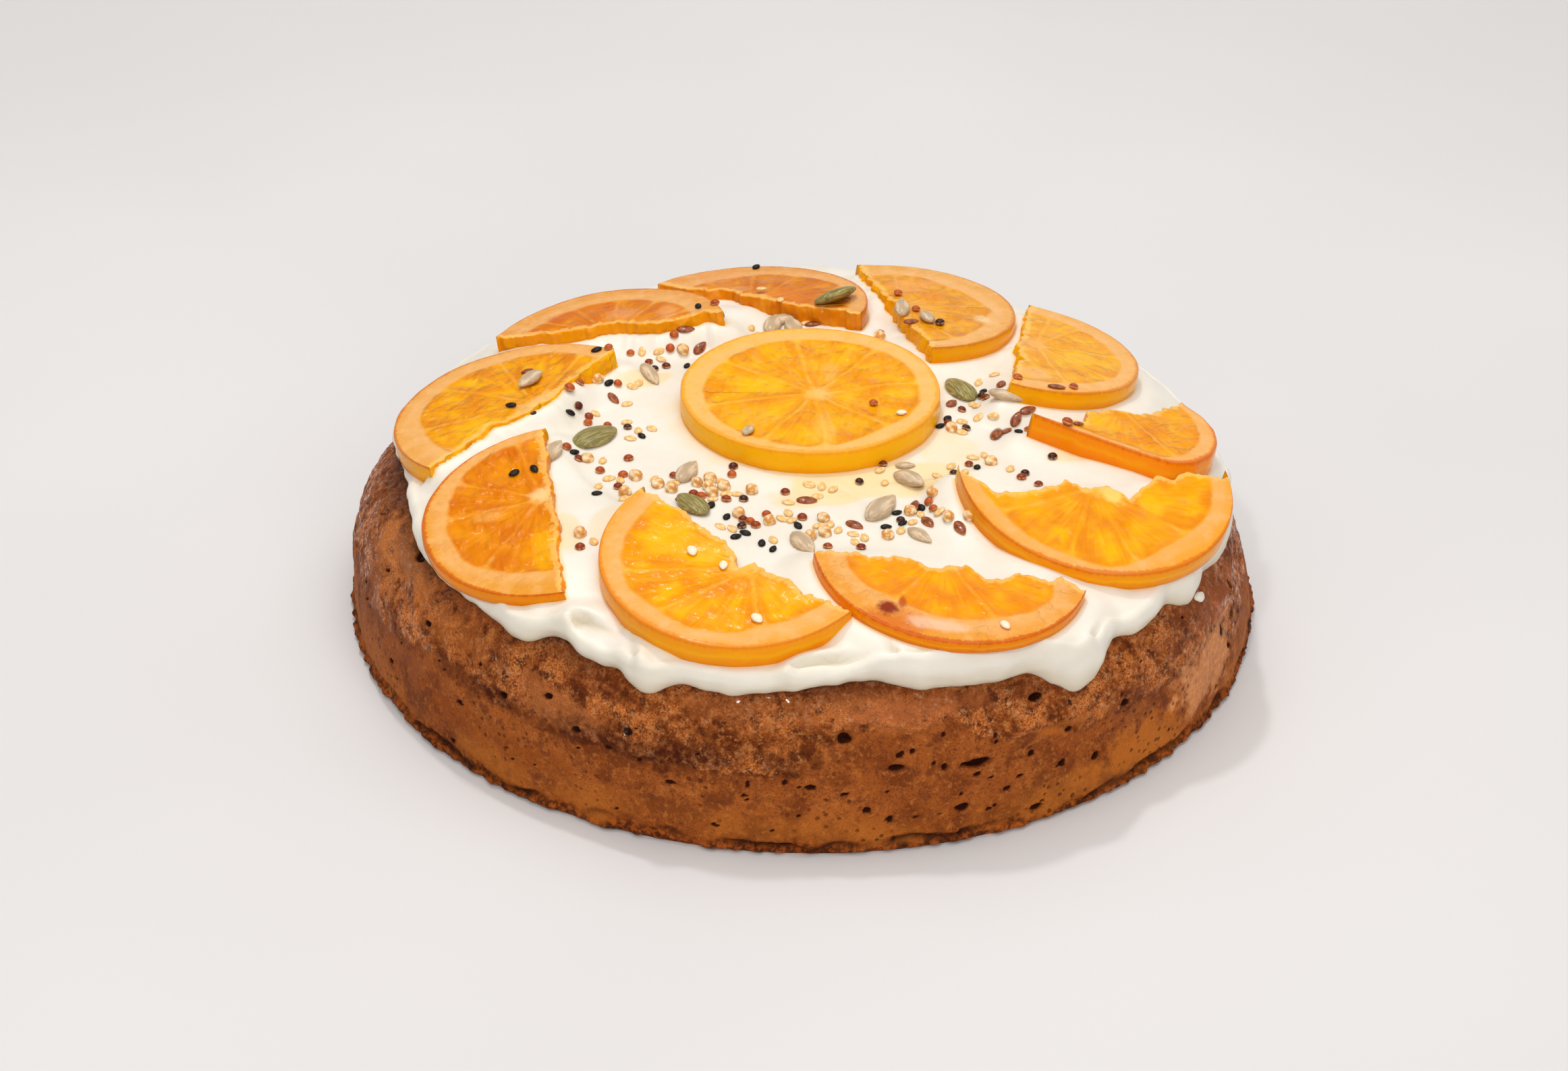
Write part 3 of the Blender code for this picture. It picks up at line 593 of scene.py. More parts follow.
# Core of the round, the directions in which its membranes meet the pith, and the radius of the
# flesh there: direction and radius, both from the middle of the round.
SEGMENTS = {
    "middle": ((1.2, -2.9), (-113, -82, -43, 10, 51, 100, 150, 199), (
        (-180, 27), (-150, 28.2), (-135, 28.8), (-115, 29.5), (-90, 30.4), (-75, 29.5), (-60, 28.4),
        (-45, 27.6), (-30, 28.6), (-15, 28.8), (0, 27.8), (20, 28), (45, 27.3), (60, 26.6),
        (90, 26.2), (115, 26.2), (135, 25.8), (155, 26.6),
    )),
    "front_left": ((3.4, 6.0), (-36, -1, 52), (
        (-90, 27), (-60, 27.2), (-40, 27.6), (-20, 28.6), (0, 27.8), (20, 28.8), (40, 27.8),
        (55, 26.6), (75, 26.6), (90, 27),
    )),
    "left_front": ((3.4, -4.6), (-76, -34, -2, 49), (
        (-90, 29.5), (-72, 29.2), (-45, 28.6), (-27, 27), (0, 26.2), (20, 26), (30, 26.6),
        (45, 25.8), (60, 24.9), (75, 23.6), (90, 23.7),
    )),
    "left": ((-1.0, -2.5), (-76, -30, 8, 53), (
        (-100, 29), (-90, 28.6), (-60, 28.7), (-40, 28), (-20, 27.2), (0, 27.2), (20, 27.2),
        (40, 27.4), (60, 25.8), (90, 25.8), (100, 27),
    )),
    "back_left": ((0.0, -2.0), (-62, -30, -2, 28, 52, 80), (
        (-90, 24.2), (-20, 23.4), (30, 23.2), (90, 24.6),
    )),
    "back": ((-1.0, 0.0), (-70, -38, -4, 26, 60), (
        (-90, 27), (-43, 28), (-15, 25.6), (2, 24.2), (17, 24), (35, 22.6), (60, 22), (90, 23),
    )),
    "back_right": ((0.0, -1.0), (-76, -36, -8, 30, 74), (
        (-90, 27), (-66, 26.4), (-48, 25.5), (-30, 23.8), (-18, 25), (0, 23), (16, 22.4),
        (35, 21.8), (55, 23.4), (76, 24), (90, 23),
    )),
    "right_back": ((2.5, 1.5), (-62, -28, 12, 58, 80), (
        (-90, 25), (-50, 25.2), (-27, 25.8), (0, 25.8), (20, 24.4), (53, 24), (73, 24.7), (90, 25),
    )),
    "right": ((1.0, 3.4), (8,), (
        (-90, 21.3), (-75, 17.8), (-60, 16.3), (-49, 16.0), (-35, 16.5), (-20, 18.3), (-10, 20.5),
        (-3, 23.1), (2, 25.2), (8, 26.4), (21, 26.5), (37, 25.2), (56, 23), (77, 21.4), (90, 20.3),
    )),
    "right_front": ((4.4, -2.0), (-64, -23, 8, 46), (
        (-86, 30), (-64, 28.6), (-44, 29.4), (-26, 29.4), (-14, 30.8), (-5, 31.4), (3, 30.6),
        (10, 29.4), (25, 27), (45, 26.8), (60, 28), (75, 28.6), (90, 29),
    )),
    "front_right": ((1.0, -2.0), (-30, 28), (
        (-80, 25.2), (-65, 25.2), (-50, 24.2), (-37, 22.6), (-15, 23), (0, 23.6), (30, 24),
        (48, 25.8), (64, 26.4), (77, 24.6), (90, 25),
    )),
}
# Flesh, its brighter patches, which are partly a painted glow of light through it, its deeper patches,
# pith, rind, and the side of the rind.
TINTS = {
    "middle": (
        (242, 160, 4), (250, 184, 10), (228, 134, 4), (250, 184, 80), (244, 160, 36), (255, 184, 6),
    ),
    "front_left": (
        (244, 158, 0), (252, 182, 0), (226, 126, 0), (234, 160, 54), (232, 130, 14), (250, 156, 0),
    ),
    "left_front": (
        (226, 130, 0), (240, 152, 0), (212, 104, 0), (228, 154, 52), (204, 90, 4), (238, 138, 0),
    ),
    "left": (
        (236, 150, 6), (248, 178, 4), (220, 124, 0), (230, 164, 80), (208, 112, 30), (248, 166, 4),
    ),
    "back_left": (
        (222, 128, 8), (236, 150, 16), (206, 102, 4), (228, 158, 76), (206, 108, 30), (236, 152, 0),
    ),
    "back": (
        (220, 128, 14), (232, 146, 26), (200, 100, 8), (228, 156, 74), (200, 102, 30),
        (216, 122, 2),
    ),
    "back_right": (
        (230, 150, 12), (242, 170, 12), (216, 130, 8), (230, 164, 74), (212, 126, 40),
        (242, 162, 4),
    ),
    "right_back": (
        (238, 162, 4), (250, 184, 8), (228, 138, 4), (236, 168, 70), (220, 130, 36), (246, 170, 4),
    ),
    "right": (
        (236, 152, 0), (244, 172, 0), (226, 126, 0), (232, 160, 58), (218, 104, 6), (248, 144, 0),
    ),
    "right_front": (
        (240, 156, 0), (250, 182, 0), (226, 126, 0), (234, 158, 44), (218, 110, 8), (246, 152, 0),
    ),
    "front_right": (
        (240, 150, 0), (250, 170, 0), (226, 122, 0), (230, 154, 56), (202, 84, 2), (238, 134, 2),
    ),
}
# Places where a slice looks unlike the rest: towards the rind and along, half sizes, colour, strength.
SPOTS = {
    "middle": (
        (-12, 1, 8, 4.5, (254, 188, 16), 0.7), (-14, -15, 8, 6, (252, 184, 40), 0.5),
        (2, -3, 4.2, 3.4, (250, 190, 104), 0.8), (4, -22, 3, 8, (250, 190, 80), 0.6),
        (5, 8, 2.2, 6, (250, 184, 96), 0.4),
    ),
    "front_left": (
        (9, -16, 7, 6, (254, 190, 16), 0.6), (5, -5, 5, 4, (252, 196, 60), 0.5),
        (6, 18, 5, 5, (252, 180, 16), 0.4), (5, 4, 3.5, 3.0, (246, 186, 90), 0.5),
    ),
    "left_front": (
        (2.2, -5.5, 3.6, 3.6, (248, 206, 140), 0.85), (3, 15, 3.5, 9, (250, 176, 10), 0.7),
        (16, -1, 5, 2, (242, 176, 80), 0.5),
    ),
    "left": (
        (-2.5, -3, 4.5, 6.5, (242, 196, 128), 0.7), (-1, 14, 8, 8, (252, 186, 10), 0.8),
        (1, 26, 4, 2.6, (242, 184, 104), 0.5),
    ),
    "back_left": (
        (9, 20, 3, 5, (206, 92, 10), 0.5), (16, 13, 3.6, 4.4, (210, 96, 12), 0.6),
        (20, 4, 3.0, 6, (216, 104, 20), 0.5), (13, -3, 5, 5, (236, 164, 104), 0.5),
        (11, -16, 7, 3.5, (236, 166, 104), 0.5),
    ),
    "back": (
        (4.8, 15, 3.6, 4.4, (228, 138, 0), 0.95), (9, 8, 3, 3, (236, 160, 84), 0.5),
        (10, -8, 6, 8, (222, 116, 30), 0.5), (16, 19, 7, 6, (236, 158, 84), 0.5),
    ),
    "back_right": (
        (6, -5, 5, 10, (238, 168, 60), 0.6), (11, 5, 3, 5, (232, 140, 10), 0.6),
        (19, -13, 2.4, 3.2, (250, 216, 168), 0.7), (9, 14, 8, 5, (236, 158, 84), 0.5),
    ),
    "right_back": (
        (1, 1, 4.5, 6.5, (240, 170, 80), 0.8), (4, -19, 6, 4, (240, 176, 100), 0.8),
        (14, -1, 5, 7, (252, 186, 14), 0.7), (6, 17, 2, 8, (240, 166, 20), 0.5),
    ),
    "right": ((4, -7, 4, 5, (252, 190, 20), 0.6), (8, 18, 6, 3, (246, 166, 12), 0.4)),
    "right_front": (
        (6, 3, 4, 3, (254, 214, 110), 0.8), (10, 12, 4, 3, (254, 188, 8), 0.7),
        (7, -21, 5, 8, (252, 182, 8), 0.5), (9, -4, 5, 4, (222, 120, 8), 0.5),
        (28, 20, 8, 10, (244, 160, 50), 0.5),
    ),
    "front_right": (
        (28, -14, 5, 12, (212, 96, 8), 0.7), (22.6, -13.4, 3.2, 2.6, (140, 36, 0), 0.98),
        (19.4, -10.4, 2.6, 1.1, (184, 70, 4), 0.85), (26.5, -2, 2.6, 8, (244, 196, 160), 0.75),
        (25, 10, 2.6, 4, (242, 176, 110), 0.5),
    ),
}
# How much the pith has blistered and the juice sacs have wrinkled, and how rough the torn edge is,
# each with what holds for the other slices.
BLISTERS = {"front_right": 0.45, "left_front": 0.3}
USUAL_BLISTERS = 0.15
WRINKLES = {"middle": 1.4, "left": 1.8, "left_front": 1.5, "right": 1.4}
USUAL_WRINKLES = 1.0
TEARS = {"left_front": 0.3, "left": 0.45, "right_back": 0.5}
USUAL_TEARS = 0.8
CORE_SIZE = 2.2
ROUNDING = 0.48
RIM_COLUMNS = 190
WHOLE_COLUMNS = 340
TOP_ROWS = 54
WHOLE_ROWS = 62
WALL_ROWS = 9
BASE_ROWS = 6
# A distance that no mask reaches, and the numbers of the two points in the middles of the top and
# the base, or of the two ends of a half.
FAR = 99.0
MIDDLE_NUMBERS = {
    "cell": (-1.0, -1.0), "inside": (1.0, 1.0), "from_rind": (20.0, 20.0),
    "from_tear": (FAR, FAR), "depth": (0.0, 1.0), "torn": (0.0, 0.0),
}


class Slab:
    """The place of one slice: its plane, and its rim and torn edge in that plane."""

    def __init__(self, name, x, y, top, rim, lean_to, lean, faces, cut, thick):
        slope = math.tan(math.radians(lean))
        lean_turn = math.radians(lean_to)
        self.name = name
        self.up = Vector((slope * math.cos(lean_turn), slope * math.sin(lean_turn), 1.0)).normalized()
        facing = Vector((math.cos(math.radians(faces)), math.sin(math.radians(faces)), 0.0))
        self.out = (facing - self.up * facing.dot(self.up)).normalized()
        self.along = self.up.cross(self.out)
        self.middle = Vector((x, y, top))
        self.rim, self.cut, self.thick = rim, cut, thick
        self.matrix = Matrix((self.out, self.along, self.up)).transposed().to_4x4()
        self.matrix.translation = self.middle * MM

    def edges(self, columns):
        """The rim and the torn edge at each column, as places towards the rind and along."""
        if self.cut is None:
            turn = np.linspace(0.0, 2.0 * np.pi, columns, endpoint=False)
            rim = self.rim * np.stack([np.cos(turn), np.sin(turn)], axis=-1)
            return rim, np.zeros_like(rim)
        if isinstance(self.rim, tuple):
            corners = np.array(self.rim)
            lengths = np.append(0.0, np.cumsum(np.hypot(*np.diff(corners, axis=0).T)))
            share = np.linspace(0.004, 0.996, columns)
            along_rim = share * lengths[-1]
            rim = np.stack([np.interp(along_rim, lengths, places) for places in corners.T], axis=-1)
            rim = smoothed(rim, 9)
            along = corners[0, 1] + (corners[-1, 1] - corners[0, 1]) * share
            half = abs(corners[0, 1])
        else:
            half_turn = math.acos(self.cut / self.rim)
            turn = np.linspace(half_turn, -half_turn, columns)
            rim = self.rim * np.stack([np.cos(turn), np.sin(turn)], axis=-1)
            along = rim[:, 1]
            half = self.rim * math.sin(half_turn)
        if self.name in TORN_EDGES:
            torn = np.interp(along, *np.array(TORN_EDGES[self.name], float).T)
            torn = np.where(np.abs(along) > 0.97 * half, np.minimum(torn, rim[:, 0]), torn)
        else:
            bites = BITES[self.name]
            torn = self.cut + sum(deep * bump(along - at * half, width) for at, width, deep in bites)
        rough = np.stack([along, along * 0.0, along * 0.0 + self.thick], -1)
        ragged = lumps(rough, 3.0, 3) + 0.5 - np.abs(waves(rough, 1.7, 5))
        torn = torn + TEARS.get(self.name, USUAL_TEARS) * ragged
        torn = np.minimum(torn, rim[:, 0] - 0.05)
        return rim, np.stack([torn, along], axis=-1)

    def height(self, x, y, depth):
        """Height of the plane that lies depth under the top face, above a place in plan."""
        base = self.middle - self.up * depth
        return base.z - (self.up.x * (x - base.x) + self.up.y * (y - base.y)) / self.up.z

    def on_plane(self, x, y, depth):
        """Places in plan, as how far they are towards the rind and along on that plane."""
        offset = np.stack([x, y, self.height(x, y, depth)], axis=-1) - np.array(self.middle)
        return offset @ np.array(self.out), offset @ np.array(self.along)


def smoothed(points, width):
    """A run of points averaged along itself, its ends kept."""
    reach = width // 2
    padded = np.concatenate([points[:1]] * reach + [points] + [points[-1:]] * reach)
    return sum(padded[n:n + len(points)] for n in range(width)) / width


def softest(first, second, reach):
    """The smaller of two distances, with the corner between them rounded."""
    share = np.clip(0.5 + 0.5 * (second - first) / reach, 0.0, 1.0)
    return second * (1.0 - share) + first * share - reach * share * (1.0 - share)


def segment_distances(name, places, seed):
    """How far places are inside the juice segments and inside the pith's ring, and how far and
    which way they are from the core."""
    core, membranes, flesh = SEGMENTS[name]
    flat = np.concatenate([places, np.zeros_like(places[..., :1]) + seed], axis=-1)
    sway = np.stack([waves(flat, 8.0, seed), waves(flat, 8.0, seed + 1)], axis=-1)
    swayed = places + 0.55 * sway
    turn = np.degrees(np.arctan2(places[..., 1], places[..., 0]))
    edge = np.interp(turn, *np.array(flesh, float).T, period=360.0)
    inside = edge - np.hypot(places[..., 0], places[..., 1]) + 0.3 * waves(flat, 5.0, seed + 2)
    offset = swayed - np.array(core)
    reach = np.hypot(*np.moveaxis(offset, -1, 0))
    nearest = np.full(reach.shape, FAR)
    for at in np.radians(membranes):
        run = 34.0 * np.array([math.cos(at), math.sin(at)]) - np.array(core)
        run = run / math.hypot(*run)
        ahead = np.maximum(offset @ run, 0.0)
        nearest = np.minimum(nearest, np.hypot(*np.moveaxis(offset - ahead[..., None] * run, -1, 0)))
    cell = softest(nearest - 0.2, inside, 2.6)
    cell = softest(cell, reach - CORE_SIZE, 1.6)
    return cell, inside, reach, np.arctan2(offset[..., 1], offset[..., 0])


def slice_mesh(name):
    """One slice in its own frame: rows of points from the torn edge to the rind over the top, down
    the rind's side, back under the base, and up the torn side."""
    slab = slabs[name]
    core = SEGMENTS[name][0]
    seed = sum(map(ord, "slice_" + name)) % 97
    whole = slab.cut is None
    columns = WHOLE_COLUMNS if whole else RIM_COLUMNS
    rim, torn = slab.edges(columns)
    share = np.linspace(0.02, 1.0, WHOLE_ROWS) if whole else np.linspace(0.0, 1.0, TOP_ROWS)
    length = np.maximum(np.hypot(*(rim - torn).T), 0.01)[:, None]
    forward = (rim - torn) / length
    inset = forward * np.minimum(ROUNDING, 0.3 * length)
    inner = torn if whole else torn + inset
    outer = rim - inset
    top = inner + (outer - inner) * share[:, None, None]
    flat = np.concatenate([top, np.zeros_like(top[..., :1]) + 31.0 * seed], axis=-1)
    cell, inside, reach, turn = segment_distances(name, top, seed)
    flesh = ramp(-0.4, 2.2, cell)
    sacs = np.stack([reach / 5.0, turn * 7.0, turn * 0.0 + seed], axis=-1)
    fibres = lumps(sacs * 2.2, 2.2, 2, seed)
    level = 0.5 * waves(flat, 24.0, seed + 7) + 0.04 * lumps(flat, 2.5, 2, seed + 8)
    level = level - flesh * (0.16 + 0.05 * fibres + 0.20 * waves(flat, 5.5, seed + 5))
    level = level * np.clip(length[:, 0] / 4.0, 0.0, 1.0)
    from_middle = np.clip(length[:, 0] / 3.0, 0.0, 1.0)
    loops = []
    numbers = {key: [] for key in MIDDLE_NUMBERS}

    def add(points, **found):
        """Rows of points, with their numbers, or with one number for them all."""
        loops.append(points)
        for key, number in found.items():
            numbers[key].append(np.broadcast_to(number, points.shape[:2]))

    def wall(edge, inwards, levels, is_torn):
        """Rows of points down (or up) one side of the slice, from its edge in plan."""
        top_level = level[-1] if inwards > 0 else level[0]
        lump_height, lump_size, lump_seed = (0.45, 2.6, 11) if is_torn else (0.12, 5.0, 13)
        for depth in levels:
            from_top = max(0.0, ROUNDING - depth) / ROUNDING
            from_base = max(0.0, ROUNDING - (slab.thick - depth)) / ROUNDING
            pull = ROUNDING * (1.0 - math.sqrt(max(0.0, 1.0 - max(from_top, from_base) ** 2)))
            bulge = 0.25 * math.sin(math.pi * depth / slab.thick)
            deep = np.concatenate([edge, np.full((columns, 1), -depth)], axis=-1) + seed
            wave = lump_height * lumps(deep, lump_size, 3 if is_torn else 2, seed + lump_seed)
            place = edge + forward * (inwards * (bulge - pull) + wave * from_middle)[:, None]
            fall = top_level * max(0.0, 1.0 - depth / 1.2) - depth
            cell, inside = segment_distances(name, place[None], seed)[:2]
            add(
                np.concatenate([place, fall[:, None]], axis=-1)[None],
                cell=cell, inside=inside, from_rind=0.0, from_tear=0.0 if is_torn else FAR,
                depth=depth / slab.thick, torn=1.0 if is_torn else 0.0,
            )

    from_rind = np.hypot(*np.moveaxis(top - outer, -1, 0))
    from_tear = np.hypot(*np.moveaxis(top - inner, -1, 0)) + (FAR if whole else 0.0)
    add(
        np.concatenate([top, level[..., None]], axis=-1),
        cell=cell, inside=inside, from_rind=from_rind, from_tear=from_tear, depth=0.0, torn=0.0,
    )
    lower = np.linspace(1.1, slab.thick - 0.5, WALL_ROWS)
    levels = np.concatenate([[0.12, 0.3, 0.6], lower, [slab.thick - 0.15]])
    wall(rim, 1.0, levels, False)
    back = np.linspace(1.0, 0.02 if whole else 0.0, BASE_ROWS)[:, None, None]
    base = inner + (outer - inner) * back
    add(
        np.concatenate([base, np.full(base.shape[:2] + (1,), -slab.thick)], axis=-1),
        cell=1.0, inside=1.0, from_rind=0.0, from_tear=FAR, depth=1.0, torn=0.0,
    )
    if not whole:
        wall(torn, -1.0, levels[::-1], True)

    grid = np.concatenate(loops)
    count = len(grid)
    points = grid.reshape(-1, 3)
    faces = band_faces(count, columns, closed=whole)
    last = (count - 1) * columns
    first_middle = len(points)
    if whole:
        middles = [(0.0, 0.0, level[0].mean()), (0.0, 0.0, -slab.thick)]
        faces = [tuple(reversed(face)) for face in faces]
        faces += fan_faces(0, columns, first_middle, True)
        faces += fan_faces(last, columns, first_middle + 1, False)
    else:
        middles = [grid[:, 0].mean(axis=0), grid[:, -1].mean(axis=0)]
        faces += [(last + n, last + n + 1, n + 1, n) for n in range(columns - 1)]
        for end, middle in ((0, first_middle), (columns - 1, first_middle + 1)):
            ring = [(row * columns + end, (row + 1) % count * columns + end) for row in range(count)]
            faces += [(a, b, middle) if end == 0 else (b, a, middle) for a, b in ring]
    points = np.concatenate([points, middles])
    values = {
        key: np.append(np.concatenate(rows).ravel(), MIDDLE_NUMBERS[key])
        for key, rows in numbers.items()
    }
    offset = points[:, :2] - np.array(core)
    turn = np.arctan2(offset[:, 1], offset[:, 0])
    values["sacs"] = np.stack([np.hypot(*offset.T), turn * 16.0, points[:, 2]], axis=-1)
    made = mesh_of("candied_slice_" + name, points, faces, values)
    made.matrix_world = slab.matrix
    return made


def candied_finish(name):
    """Candied orange: glossy juice sacs and the membranes between them, pith, rind and sides."""
    flesh, bright, deep, pith, rind, side = (rgb(*tint) for tint in TINTS[name])
    made, start = new_finish("candied_orange_slice_" + name)
    spot = start.places()
    cell = start.value("cell")
    inside = start.value("inside")
    depth = start.value("depth")
    torn = start.value("torn")
    from_rind = start.value("from_rind")
    sacs = start.vector("sacs")
    cloud = spot.noise(7.0, 2.0)
    patch = spot.moved(40.0, 0.0, 0.0).noise(10.0, 2.0)
    small = spot.noise(1.1, 2.0, 0.6)
    threads = sacs.stretched(0.10, 0.55, 0.3).noise(1.0, 3.0, 0.6)
    fibres = sacs.stretched(0.06, 1.1, 0.3).noise(1.0, 2.0, 0.6)
    # The brighter yellow patches of the flesh are partly a painted glow of light passing through it.
    juice = cloud.rise(0.28, 0.72).blend(flesh, bright)
    juice = layered(
        juice, (patch, 0.42, 0.72, 0.8, deep), (threads, 0.42, 0.70, 0.5, deep),
        (fibres, 0.50, 0.72, 0.4, bright),
    )
    juice = (cell + (cloud - 0.5) * 2.4).rise(3.4, 0.0, 0.0, 0.4).blend(juice, deep)
    skin_mask = (cell + (small - 0.5) * 0.5).rise(-0.40, 0.85)
    membrane = tuple(0.25 * a + 0.75 * b for a, b in zip(pith, bright))
    pale = (inside + (small - 0.5) * 0.8).rise(-0.5, 1.6).blend(pith, membrane)
    fade = inside.rise(1.0, 9.0, 0.0, 0.85) * patch.rise(0.34, 0.58)
    pale = fade.blend(pale, flesh)
    mottle = spot.moved(0.0, 30.0, 0.0).noise(4.0, 3.0, 0.6)
    band = (inside + (cloud - 0.5) * 2.0).rise(-5.5, -2.0) * inside.rise(0.6, -0.6)
    pale = (band * 0.45).blend(pale, rgb(240, 184, 120))
    pale = layered(
        pale, (mottle, 0.48, 0.70, 0.25, flesh), (mottle, 0.50, 0.34, 0.3, rgb(246, 190, 128)),
    )
    colour = skin_mask.blend(pale, juice)
    for at_x, at_y, half_x, half_y, tint, strength in SPOTS.get(name, ()):
        away = spot.from_place(at_x, at_y, half_x, half_y) + (cloud - 0.5) * 1.6 + (small - 0.5) * 0.6
        colour = (away.rise(1.25, 0.45) * strength).blend(colour, rgb(*tint))
    fringe = (start.value("from_tear") + (small - 0.5) * 3.0 + (mottle - 0.5) * 4.0).rise(1.5, 0.3)
    colour = (fringe * 0.65).blend(colour, rgb(248, 194, 104))
    teeth = sacs.stretched(0.15, 1.9, 0.15).noise(1.0, 1.0)
    rind_edge = (from_rind + (teeth - 0.5) * 1.4 + (cloud - 0.5) * 1.2).rise(0.9, 0.1, 0.0, 0.8)
    colour = (rind_edge * (1.0 - torn)).blend(colour, rind)
    lower = tuple(c * f for c, f in zip(side, (0.94, 0.8, 0.7)))
    side_colour = (depth + (teeth - 0.5) * 0.2).rise(0.0, 0.22).blend(rind, side)
    uneven = depth + (cloud - 0.5) * 0.5
    seam = uneven.rise(0.30, 0.50) * uneven.rise(0.62, 0.50)
    side_colour = (seam * 0.5).blend(side_colour, bright)
    side_colour = (depth + (cloud - 0.5) * 0.6).rise(0.50, 0.95, 0.0, 0.9).blend(side_colour, lower)
    on_side = depth.rise(0.02, 0.08)
    colour = (on_side * (1.0 - torn)).blend(colour, side_colour)
    colour = (on_side * torn).blend(colour, cloud.rise(0.4, 0.6).blend(side, bright))
    wet = skin_mask * (1.0 - on_side) + on_side * torn
    roughness = 0.26 - wet * 0.10 + (small - 0.5) * 0.1
    ripples = spot.noise(4.0, 1.0, 0.4)
    wrinkles = spot.stretched(1.0, 0.6, 1.0).noise(2.3, 1.5, 0.4) * patch.rise(0.36, 0.60, 0.25, 1.0)
    wrinkled = WRINKLES.get(name, USUAL_WRINKLES)
    juicy = (threads * 0.3 + ripples * 0.6 + wrinkles * 1.7) * wrinkled
    blistered = BLISTERS.get(name, USUAL_BLISTERS)
    blisters = mottle.rise(0.50, 0.62) * patch.rise(0.45, 0.6) * blistered
    grit = small * (0.05 + 0.7 * max(0.0, blistered - 0.2))
    relief = wet * (juicy - wrinkled) + (1.0 - wet) * (grit + ripples * 0.25 + blisters - 0.15)
    normal = start.bumped(relief, 0.7, 0.8)
    constants = {
        "Subsurface Weight": 0.18,
        "Subsurface Radius": (1.0, 0.7, 0.25),
        "Subsurface Scale": 1.6 * MM,
        "Coat Weight": 0.14,
        "Coat Roughness": 0.04,
        "Coat IOR": 1.38,
        "IOR": 1.36,
        "Specular IOR Level": 0.16,
    }
    set_finish(made, constants, Base_Color=colour, Roughness=roughness, Normal=normal)
    return made


slabs = {name: Slab(name, *sizes) for name, sizes in SLICES.items()}
candied = {}
for name in SLICES:
    piece = slice_mesh(name)
    piece.data.materials.append(candied_finish(name))
    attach(piece, "root")
    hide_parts("slice_" + name)
    candied[name] = piece

# ------------------------------------------------------------------------------------------------
# Icing. Thick cream-cheese icing, spread over the top with a spatula: it fills under the slices,
# laps up against them, and ends in a soft rounded edge with lobes that hang over the shoulder.
# ------------------------------------------------------------------------------------------------
# Thickness in the middle, at the edge and at the least.
ICING_MIDDLE = 4.5
ICING_EDGE = 3.0
ICING_LEAST = 0.6
# Thicker swirls along the edge: azimuth, half width, extra thickness.
ICING_SWIRLS = (
    (-128, 12, 1.6), (-108, 7, 1.4), (-66, 13, 1.6), (-55, 7, 1.8), (-34, 6, 1.2), (92, 14, 1.2),
)
# A mound behind the middle slice: middle in plan, width and height.
ICING_MOUND = (-20, 50, 9, 3.0)
ICING_COLUMNS = 660
ICING_ROWS = 110
RIM_ROWS = 18
RIM_WIDTH = 2.3
RIM_UNDER = 68.0
# The icing rises by this much over a slice's underside, from this far out, and laps in under it.
FILL_UP = 0.5
FILL_REACH = 10.0
LAP_REACH = 2.2
LAP_START = 0.5
# Where one stroke of the spatula laps over another at the edge: azimuth, half width, depth.
ICING_CREASES = (
    (-127.5, 3.0, 1.0), (-113.5, 2.2, 1.1), (-94, 4.0, 0.5), (-72, 3.5, 0.6), (-60, 2.5, 0.7),
    (-47, 2.5, 0.9), (-38, 2.0, 0.8), (-27, 2.5, 0.6), (-143, 3.0, 0.6), (12, 4.0, 0.6),
    (61, 3.0, 0.7), (98, 3.0, 0.7), (146, 3.0, 0.6),
)
# Spatula strokes: start and end in plan, width, height of the ridge, and its steep side.
STROKES = (
    (-20, -20, 20, -48, 9.0, 0.35, 1), (14, -36, 50, -22, 8.0, 0.4, -1),
    (-62, -22, -30, -58, 8.0, 0.35, -1), (-20, 96, 30, 98, 6.0, 0.9, -1),
    (60, 80, 92, 46, 6.0, 0.9, -1), (-92, 52, -60, 84, 6.0, 0.9, -1),
)
# Lips where one layer of icing folds over another: height, width of the gentle side and of the
# steep one, and the line of the lip in plan, with the steep side away from the middle.
FOLDS = (
    (1.5, 7.0, 0.8, (
        (-56.1, -96.9), (-53.4, -93), (-51.4, -90.2), (-48.3, -90.4), (-44.3, -92.6), (-41.1, -94.2),
    )),
    (1.0, 4.0, 0.8, ((-68.7, -86.6), (-66.4, -92.8), (-63, -96.1), (-59.4, -97.3))),
    (1.0, 3.5, 0.6, ((-36.5, -99.4), (-35.4, -104.7), (-36, -110), (-36.3, -113.2))),
    (1.2, 4.0, 0.9, ((-22.5, -114.6), (-16.7, -111.8), (-9.3, -109.5), (-0.3, -108))),
    (1.3, 4.5, 0.9, ((-6.3, -108.1), (1.1, -105), (8.6, -103.2), (13.9, -102.6))),
    (1.4, 4.0, 0.8, ((19.6, -98.4), (21.5, -101.3), (23.3, -104.6), (26.3, -106.8), (30.4, -108))),
    (1.0, 3.5, 0.7, ((22.1, -102.6), (25.5, -103.3), (28.2, -101.6), (28.8, -97.6), (29.7, -95.2))),
    (1.4, 4.0, 0.8, (
        (31.2, -103.9), (35.7, -104.3), (41, -103.5), (46.3, -104.1), (50.2, -101), (54.2, -96.7),
        (58.1, -94.8),
    )),
    (0.9, 3.0, 0.6, ((46.9, -103.7), (49.2, -101), (52.5, -97.4))),
    (1.1, 3.0, 0.6, ((64.1, -96), (65.3, -92.5), (66.3, -89.7), (67.9, -86.2))),
)
# Icing banked up against a torn edge: slice, from and to along it, how far below its top, reach.
BANKS = (
    ("left", -20, 60, 0.9, 9.0), ("back_left", -60, 8, 3.2, 7.0), ("back", 2, 60, 2.6, 7.0),
    ("right_back", -4, 60, 2.4, 6.0), ("back_right", 6, 60, 2.0, 6.0),
)
